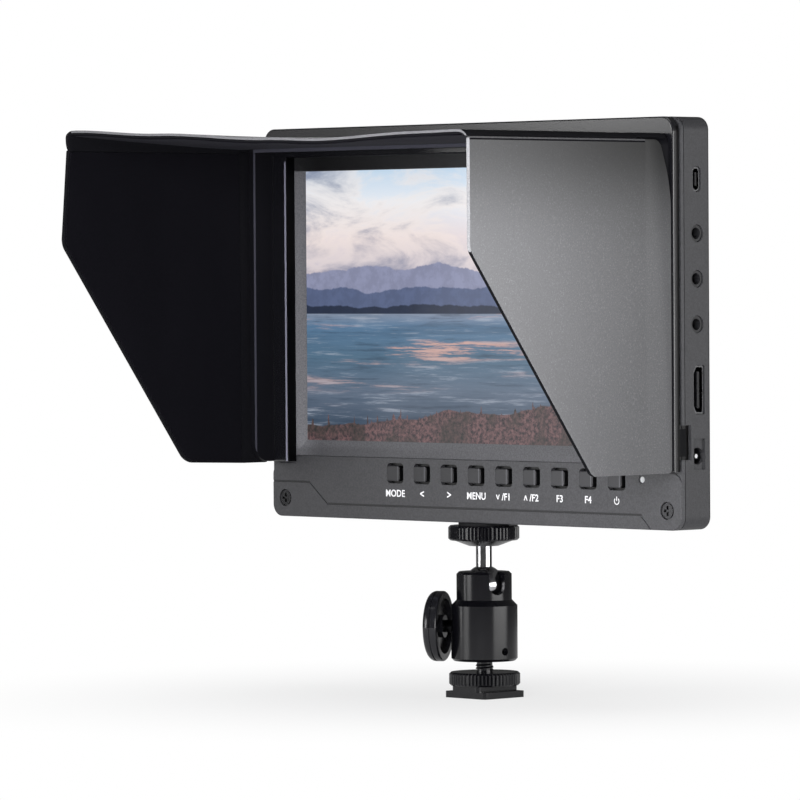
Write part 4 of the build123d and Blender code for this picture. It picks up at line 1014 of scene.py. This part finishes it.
class MONITOR_OT_flap(bpy.types.Operator):
    """Make the top flap: warped board in coated cloth, its side edges turned down, velvet below."""

    bl_idname = "field_monitor.flap"
    bl_label = "Top flap"

    def execute(self, context):
        settings = context.scene.monitor_hood
        cloth = bpy.data.materials["coated cloth"]
        velvet = bpy.data.materials["black velvet"]
        edging = bpy.data.materials["black edging"]
        half = FLAP_HIGH.x + settings.overhang
        reach = FLAP_CREASE - FLAP_LOW.y
        rise = FLAP_HIGH.z - CLOTH - ROOF_Z
        hems = {-1: WING_TOP - 0.25 * MM, 1: WING_TOP + settings.right_rise + 0.04 * MM}
        bend = settings.edge_bend
        band = 3.0 * MM                   # flat width that turns down at each side
        tuck = {-1: 1 - settings.left_tuck / half, 1: 1.0}

        def sheet(name, inset, start):
            """A flat rounded sheet: X across, Y forwards from the crease, cut into a net."""
            wide, long = 2 * (half - inset), reach - inset - start
            piece = add(name, "plane", scale=(wide, long, 1), size=1,
                        location=(0, start + long / 2, 0))
            for sign in (-1, 1):
                round_corner(piece, (sign * wide / 2, start + long), 1.2 * MM)
            for i in range(1, 13):
                cut(piece, (0, start + long * i / 13, 0), (0, 1, 0))
            for i in range(-17, 18):
                cut(piece, (i * 5.1 * MM, 0, 0), (1, 0, 0))
            for sign in (-1, 1):
                for i in range(9):
                    cut(piece, (sign * (half - band * i / 9), 0, 0), (1, 0, 0))
            return piece

        def warped(co):
            """The warped flap's height and its distance from the crease."""
            share = co.y / reach
            middle = ROOF_Z + rise * share + eased(FLAP_WARP, co.x) * MM * max(share, 0.0) ** 1.4
            return middle, co.y + eased(FLAP_FRONT, co.x) * MM * max(share, 0.0) ** 2

        def place(co):
            """Warp the flat flap and turn its side edges down to the wings."""
            middle, forward = warped(co)
            sign = 1 if co.x > 0 else -1
            turn = (abs(co.x) - (half - band)) / band
            if turn <= 0:
                return Vector((co.x * tuck[sign], FLAP_CREASE - forward, middle + co.z))
            # the first half of the band bends a quarter turn, the rest hangs down to the hem
            angle = min(turn * 2, 1.0) * math.pi / 2
            across = half - band + (band - bend) * min(turn * 2, 1.0) + bend * math.sin(angle)
            down = bend * (1 - math.cos(angle))
            hem = hems[sign]
            hang = max(middle - bend - hem, 0.05 * MM)
            down += max(turn * 2 - 1.0, 0.0) * hang
            x = across + co.z * math.sin(angle)
            z = middle - down + co.z * math.cos(angle)
            return Vector((sign * x * tuck[sign], FLAP_CREASE - forward, max(z, hem)))

        board = sheet("top_flap_skin", 0.0, 0.05 * MM)
        thicken(board, -settings.board, CLOTH, settings.edge_radius)
        welt = 0.06 * MM
        cut(board, (0, 0, welt), (0, 0, 1))
        board.data.materials.append(cloth)
        side = half - band * 1.02
        hem_edge = black_edging("flap hem", settings.hem_color)

        def inner(co, out):
            """What the black tape covers: the underside, the rim's lower half and the sides."""
            return out.z < -0.6 or co.z < welt or abs(co.x) > side and out.y < 0.5 or co.x < -side

        line_faces(board, lambda co, out: out.y > 0.5, hem_edge)
        line_faces(board, inner, edging)
        move_points(board, place)
        close_up(board)
        keep_place(board)
        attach(board, "top_flap")
        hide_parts("top_flap")

        def tucked(co):
            """Warp the velvet under the flap, short of the turned edges."""
            middle, forward = warped(co)
            return Vector((co.x * (half - 3.4 * MM) / half, FLAP_CREASE - forward, middle + co.z))

        pile = sheet("top_flap_velvet", settings.velvet_inset, 1.6 * MM)
        thicken(pile, -settings.board - settings.velvet, -settings.board + 0.05 * MM, 0.15 * MM)
        move_points(pile, tucked)
        close_up(pile)
        dress(pile, velvet, "top_flap")
        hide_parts("top_flap_lining")
        for piece in (board, pile):
            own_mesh(piece)

        # black tape round the roof's two corners, from the flange to the flap: a dark sheet that
        # stands for the shade in the gap above the wings
        rear_y, front_y = SIDE_CLOTH_HIGH.y - 1.0 * MM, FLAP_CREASE - 0.3 * MM
        corner, thick = 3.0 * MM, CLOTH
        for side_name, sign in (("left", -1), ("right", 1)):
            low = hems[sign]
            low_angle = math.asin((low + 0.01 * MM - (ROOF_Z - corner)) / (corner + 0.05 * MM))
            tape = add(side_name + "_corner_shade_tape", "plane", size=1, location=(0.5, 0.5, 0))
            for i in range(1, 10):
                cut(tape, (i / 10, 0, 0), (1, 0, 0))

            def wrap(co):
                """Bend the flat tape round the roof's corner."""
                turn = low_angle + (math.pi / 2 - low_angle) * min(co.x / 0.8, 1.0)
                past = max(co.x - 0.8, 0.0) * 8 * MM
                radius = corner + 0.04 * MM + co.z
                x = WALL_X - corner + radius * math.cos(turn) - past
                z = ROOF_Z - corner + radius * math.sin(turn)
                return Vector((sign * x, rear_y + (front_y - rear_y) * co.y, max(z, low)))

            modify(tape, "SOLIDIFY", thickness=thick, offset=1.0)
            lowest = min(v.co.z for v in tape.data.vertices)
            move_points(tape, lambda co: wrap(Vector((co.x, co.y, co.z - lowest))))
            close_up(tape)
            dress(tape, edging, "hood")

        # the cloth's roll over the crease
        roll = add(
            "top_crease_roll", "cylinder", vertices=20, radius=CLOTH * 0.96,
            depth=2 * half - 2 * MM,
            location=(0, FLAP_CREASE, ROOF_Z), rotation=(0, math.pi / 2, 0),
        )
        modify(roll, "BEVEL", width=0.4 * MM, segments=3, limit_method="ANGLE")
        close_up(roll)
        dress(roll, edging, "hood")
        # the top hinge cloth painted black: painted shade in the dark band between the flap's
        # crease and the flange
        paint({edging: ("top_hinge_cloth",)})
        return {"FINISHED"}


class MONITOR_OT_stitching(bpy.types.Operator):
    """Sew the hood: a row of stitches beside the top flap's crease."""

    bl_idname = "field_monitor.stitching"
    bl_label = "Stitching"

    def execute(self, context):
        settings = context.scene.monitor_hood
        thread = speckled("sewing thread", (0.16, 0.16, 0.17), 0.6, 4200.0, (0.6, 0.8),
                          depth=0.03 * MM, strength=0.6)

        def row(name, start, end, body):
            """One row of stitches from start to end."""
            start, end = Vector(start), Vector(end)
            run = end - start
            count = int(run.length / settings.stitch_pitch)
            stitch = add(
                name, "cylinder", vertices=6, radius=settings.stitch_radius,
                depth=settings.stitch_length,
                location=start, rotation=run.to_track_quat("Z", "Y").to_euler(),
            )
            modify(stitch, "BEVEL", width=settings.stitch_radius * 0.6, segments=2,
                   limit_method="ANGLE", angle_limit=math.radians(70))
            step = run.normalized() * settings.stitch_pitch
            modify(stitch, "ARRAY", count=count, use_relative_offset=False,
                   use_constant_offset=True, constant_offset_displace=step)
            close_up(stitch)
            dress(stitch, thread, body)

        under = ROOF_Z - 0.02 * MM
        y = FLAP_CREASE + 2.4 * MM
        row("roof_stitches", (-84 * MM, y, under), (84 * MM, y, under), "hood")
        return {"FINISHED"}


# ------------------------------------------------------------------ printing
class MONITOR_OT_printing(bpy.types.Operator):
    """Print the keys' plain words, numbers and symbols on the lower bezel."""

    bl_idname = "field_monitor.printing"
    bl_label = "Printing"

    def execute(self, context):
        settings = context.scene.monitor_body
        white = speckled("white ink", settings.print_color, 0.55, 3500.0, (0.82, 0.3),
                         depth=0.004 * MM, detail=3.0, fineness=0.6)
        key_low, key_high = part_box(KEY_NODES[0])
        row_z = (key_low.z + key_high.z) / 2 - settings.print_drop
        size = settings.print_height / 0.70

        def printed(name, piece):
            """Lay a flat mesh on the face, give it ink and a body."""
            settle(piece)
            modify(piece, "SOLIDIFY", thickness=settings.print_thickness, offset=0)
            move_points(piece,
                        lambda co: Vector((co.x, FACE_Y - settings.print_thickness / 2 + co.y,
                                           co.z)))
            close_up(piece)
            dress(piece, white, "monitor")

        def words(name, text, x, turn=0.0, scale=1.0):
            """Text centred under a key."""
            deselect()
            bpy.ops.object.text_add(location=(0, 0, 0))
            piece = bpy.context.object
            piece.name = name
            piece.data.body = text
            piece.data.align_x = "CENTER"
            piece.data.align_y = "CENTER"
            piece.data.size = size * scale
            piece.data.offset = 0.02 * size
            piece.data.space_character = 1.04
            choose(piece)
            bpy.ops.object.convert(target="MESH")
            piece = bpy.context.object
            piece.data.name = name
            piece.matrix_world = (
                Matrix.Translation((x, 0, row_z)) @ Matrix.Rotation(math.pi / 2, 4, "X")
                @ Matrix.Rotation(turn, 4, "Z")
            )
            printed(name, piece)

        centres = []
        for node in KEY_NODES:
            low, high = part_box(node)
            centres.append((low.x + high.x) / 2)
        words("print_mode", "MODE", centres[0])
        words("print_left", "<", centres[1], scale=1.15)
        words("print_right", ">", centres[2], scale=1.15)
        words("print_menu", "MENU", centres[3])
        words("print_down", "<", centres[4] - 2.5 * MM, turn=math.pi / 2)
        words("print_one", "/F1", centres[4] + 1.1 * MM)
        words("print_up", ">", centres[5] - 2.5 * MM, turn=math.pi / 2)
        words("print_two", "/F2", centres[5] + 1.1 * MM)
        words("print_three", "F3", centres[6])
        words("print_four", "F4", centres[7])

        # power symbol: an open ring and a bar
        ring = 1.15 * MM
        upright = (math.pi / 2, 0, 0)
        bar_middle = (0, 0, ring * 0.62)
        sign = add("print_power", "circle", vertices=40, radius=ring, fill_type="NOTHING",
                   rotation=upright)
        with editing(sign):
            pick(sign, lambda co: co.z > ring * 0.75 and abs(co.x) < ring * 0.6)
            bpy.ops.mesh.delete(type="VERT")
            bpy.ops.mesh.select_all(action="SELECT")
            bpy.ops.mesh.extrude_edges_move()
            bpy.ops.transform.resize(value=(0.72, 1, 0.72))
            bpy.ops.mesh.primitive_plane_add(size=1, location=bar_middle, rotation=upright)
            bpy.ops.transform.resize(value=(0.32 * MM, 1, 1.35 * MM), center_override=bar_middle)
        move_points(sign, lambda co: co + Vector((centres[8], 0, row_z)))
        printed("print_power", sign)
        return {"FINISHED"}


# ------------------------------------------------------------------ stage
class MONITOR_OT_stage(bpy.types.Operator):
    """Set the floor, the lamps, the room and the camera."""

    bl_idname = "field_monitor.stage"
    bl_label = "Stage"

    def execute(self, context):
        settings = context.scene.monitor_stage
        scene = context.scene
        scene.view_settings.view_transform = "Standard"

        floor = add("floor", "circle", vertices=96, radius=0.36, fill_type="NGON",
                    location=(0, 0, 0))
        paper = Finish("pale paper", (0.80, 0.80, 0.81), 0.9, specular_ior_level=0.1)
        x, y, _ = paper.axes()
        seen = paper.node("ShaderNodeLightPath", output="Is Camera Ray")
        glossy = paper.node("ShaderNodeLightPath", output="Is Glossy Ray")
        emit = paper.node("ShaderNodeEmission", inputs={"Color": (1, 1, 1, 1), "Strength": 1.0})
        far = ((x * x + y * y) ** 0.5).step(0.02, 0.20)
        factor = seen * (0.72 + far * 0.28) + glossy * 0.10
        blend = paper.node("ShaderNodeMixShader", inputs={0: factor})
        paper.tree.links.new(paper.shader.outputs[0], blend.socket.node.inputs[1])
        paper.tree.links.new(emit.socket, blend.socket.node.inputs[2])
        output = paper.tree.nodes["Material Output"]
        paper.tree.links.new(blend.socket, output.inputs["Surface"])
        floor.data.materials.append(paper.material)

        world = bpy.data.worlds.new("studio")
        scene.world = world
        world.use_nodes = True
        tree = world.node_tree
        tree.nodes.clear()
        path = tree.nodes.new("ShaderNodeLightPath")
        levels = {"room": settings.room_level, "dim": settings.dim_level, "backdrop": 1.0}
        shaders = {}
        for name, level in levels.items():
            shaders[name] = tree.nodes.new("ShaderNodeBackground")
            shaders[name].inputs["Color"].default_value = (1, 1, 1, 1)
            shaders[name].inputs["Strength"].default_value = level
        result = shaders["room"].outputs[0]
        for ray, name in (
            ("Is Glossy Ray", "dim"), ("Is Transmission Ray", "backdrop"),
            ("Is Camera Ray", "backdrop"),
        ):
            mixer = tree.nodes.new("ShaderNodeMixShader")
            tree.links.new(path.outputs[ray], mixer.inputs[0])
            tree.links.new(result, mixer.inputs[1])
            tree.links.new(shaders[name].outputs[0], mixer.inputs[2])
            result = mixer.outputs[0]
        end = tree.nodes.new("ShaderNodeOutputWorld")
        tree.links.new(result, end.inputs[0])

        # each lamp: bearing from the front, distance, height, width, height of the box, power
        lamps = (
            ("front lamp", -20.0, 2.0, 0.35, 0.7, 0.8, settings.front_power),
            ("strip lamp", -42.0, 1.0, 0.20, 0.08, 0.5, settings.strip_power),
            ("fill lamp", 33.0, 0.5, 0.15, 0.25, 0.25, settings.fill_power),
            ("right lamp", 103.0, 0.95, 0.12, 0.90, 0.30, settings.right_power),
            ("top lamp", 20.0, 0.3, 1.70, 1.2, 1.2, settings.top_power),
        )
        target = Vector((0, -0.02, 0.115))
        for name, bearing, distance, height, wide, high, power in lamps:
            light = bpy.data.lights.new(name, "AREA")
            light.shape = "RECTANGLE"
            light.size = wide
            light.size_y = high
            light.energy = power
            lamp = bpy.data.objects.new(name, light)
            lamp.visible_camera = False
            if name == "fill lamp":
                lamp.visible_glossy = False
                light.spread = math.radians(70)
            scene.collection.objects.link(lamp)
            around = math.radians(bearing)
            at = Vector((distance * math.sin(around), -distance * math.cos(around), height))
            lamp.location = at
            facing = target - at
            if name != "top lamp":
                facing.z = 0
            lamp.rotation_euler = facing.to_track_quat("-Z", "Y").to_euler()

        a, e = settings.azimuth, settings.elevation
        back = Vector((math.sin(a) * math.cos(e), -math.cos(a) * math.cos(e), math.sin(e)))
        right = Vector((math.cos(a), math.sin(a), 0))
        up = back.cross(right)
        r = settings.roll
        rolled_right = right * math.cos(r) + up * math.sin(r)
        rolled_up = up * math.cos(r) - right * math.sin(r)
        turn = Matrix((rolled_right, rolled_up, back)).transposed().to_4x4()
        camera = bpy.data.cameras.new("camera")
        camera.lens = settings.focal_length
        camera.sensor_width = 36
        camera.clip_start = 0.05
        camera.clip_end = 30
        view = bpy.data.objects.new("camera", camera)
        scene.collection.objects.link(view)
        view.matrix_world = (
            Matrix.Translation(Vector(settings.aim) + back * settings.distance) @ turn
        )
        scene.camera = view
        return {"FINISHED"}


# ------------------------------------------------------------------ panel
OPERATORS = (
    MONITOR_OT_stage, MONITOR_OT_housing, MONITOR_OT_inner_parts, MONITOR_OT_ball_head,
    MONITOR_OT_picture,
    MONITOR_OT_wings, MONITOR_OT_flap, MONITOR_OT_stitching, MONITOR_OT_printing,
)
GROUPS = {
    "monitor_hood": HoodSettings,
    "monitor_body": BodySettings,
    "monitor_screen": ScreenSettings,
    "monitor_stage": StageSettings,
}


class MONITOR_PT_panel(bpy.types.Panel):
    """Every step of the field monitor, in order, and its settings."""

    bl_label = "Field monitor"
    bl_idname = "MONITOR_PT_panel"
    bl_space_type = "VIEW_3D"
    bl_region_type = "UI"
    bl_category = "Field monitor"

    def draw(self, context):
        for operator in OPERATORS:
            self.layout.operator(operator.bl_idname)
        for group, settings in GROUPS.items():
            box = self.layout.box()
            for name in settings.__annotations__:
                box.prop(getattr(context.scene, group), name)


def register():
    """Register the settings, the operators and the panel."""
    for group, settings in GROUPS.items():
        bpy.utils.register_class(settings)
        setattr(bpy.types.Scene, group, PointerProperty(type=settings))
    for operator in OPERATORS:
        bpy.utils.register_class(operator)
    bpy.utils.register_class(MONITOR_PT_panel)


def unregister():
    """Take back what register added."""
    bpy.utils.unregister_class(MONITOR_PT_panel)
    for operator in reversed(OPERATORS):
        bpy.utils.unregister_class(operator)
    for group, settings in GROUPS.items():
        delattr(bpy.types.Scene, group)
        bpy.utils.unregister_class(settings)


def main():
    """Run every step in order."""
    register()
    for operator in OPERATORS:
        group, name = operator.bl_idname.split(".")
        getattr(getattr(bpy.ops, group), name)()


if __name__ == "__main__":
    main()
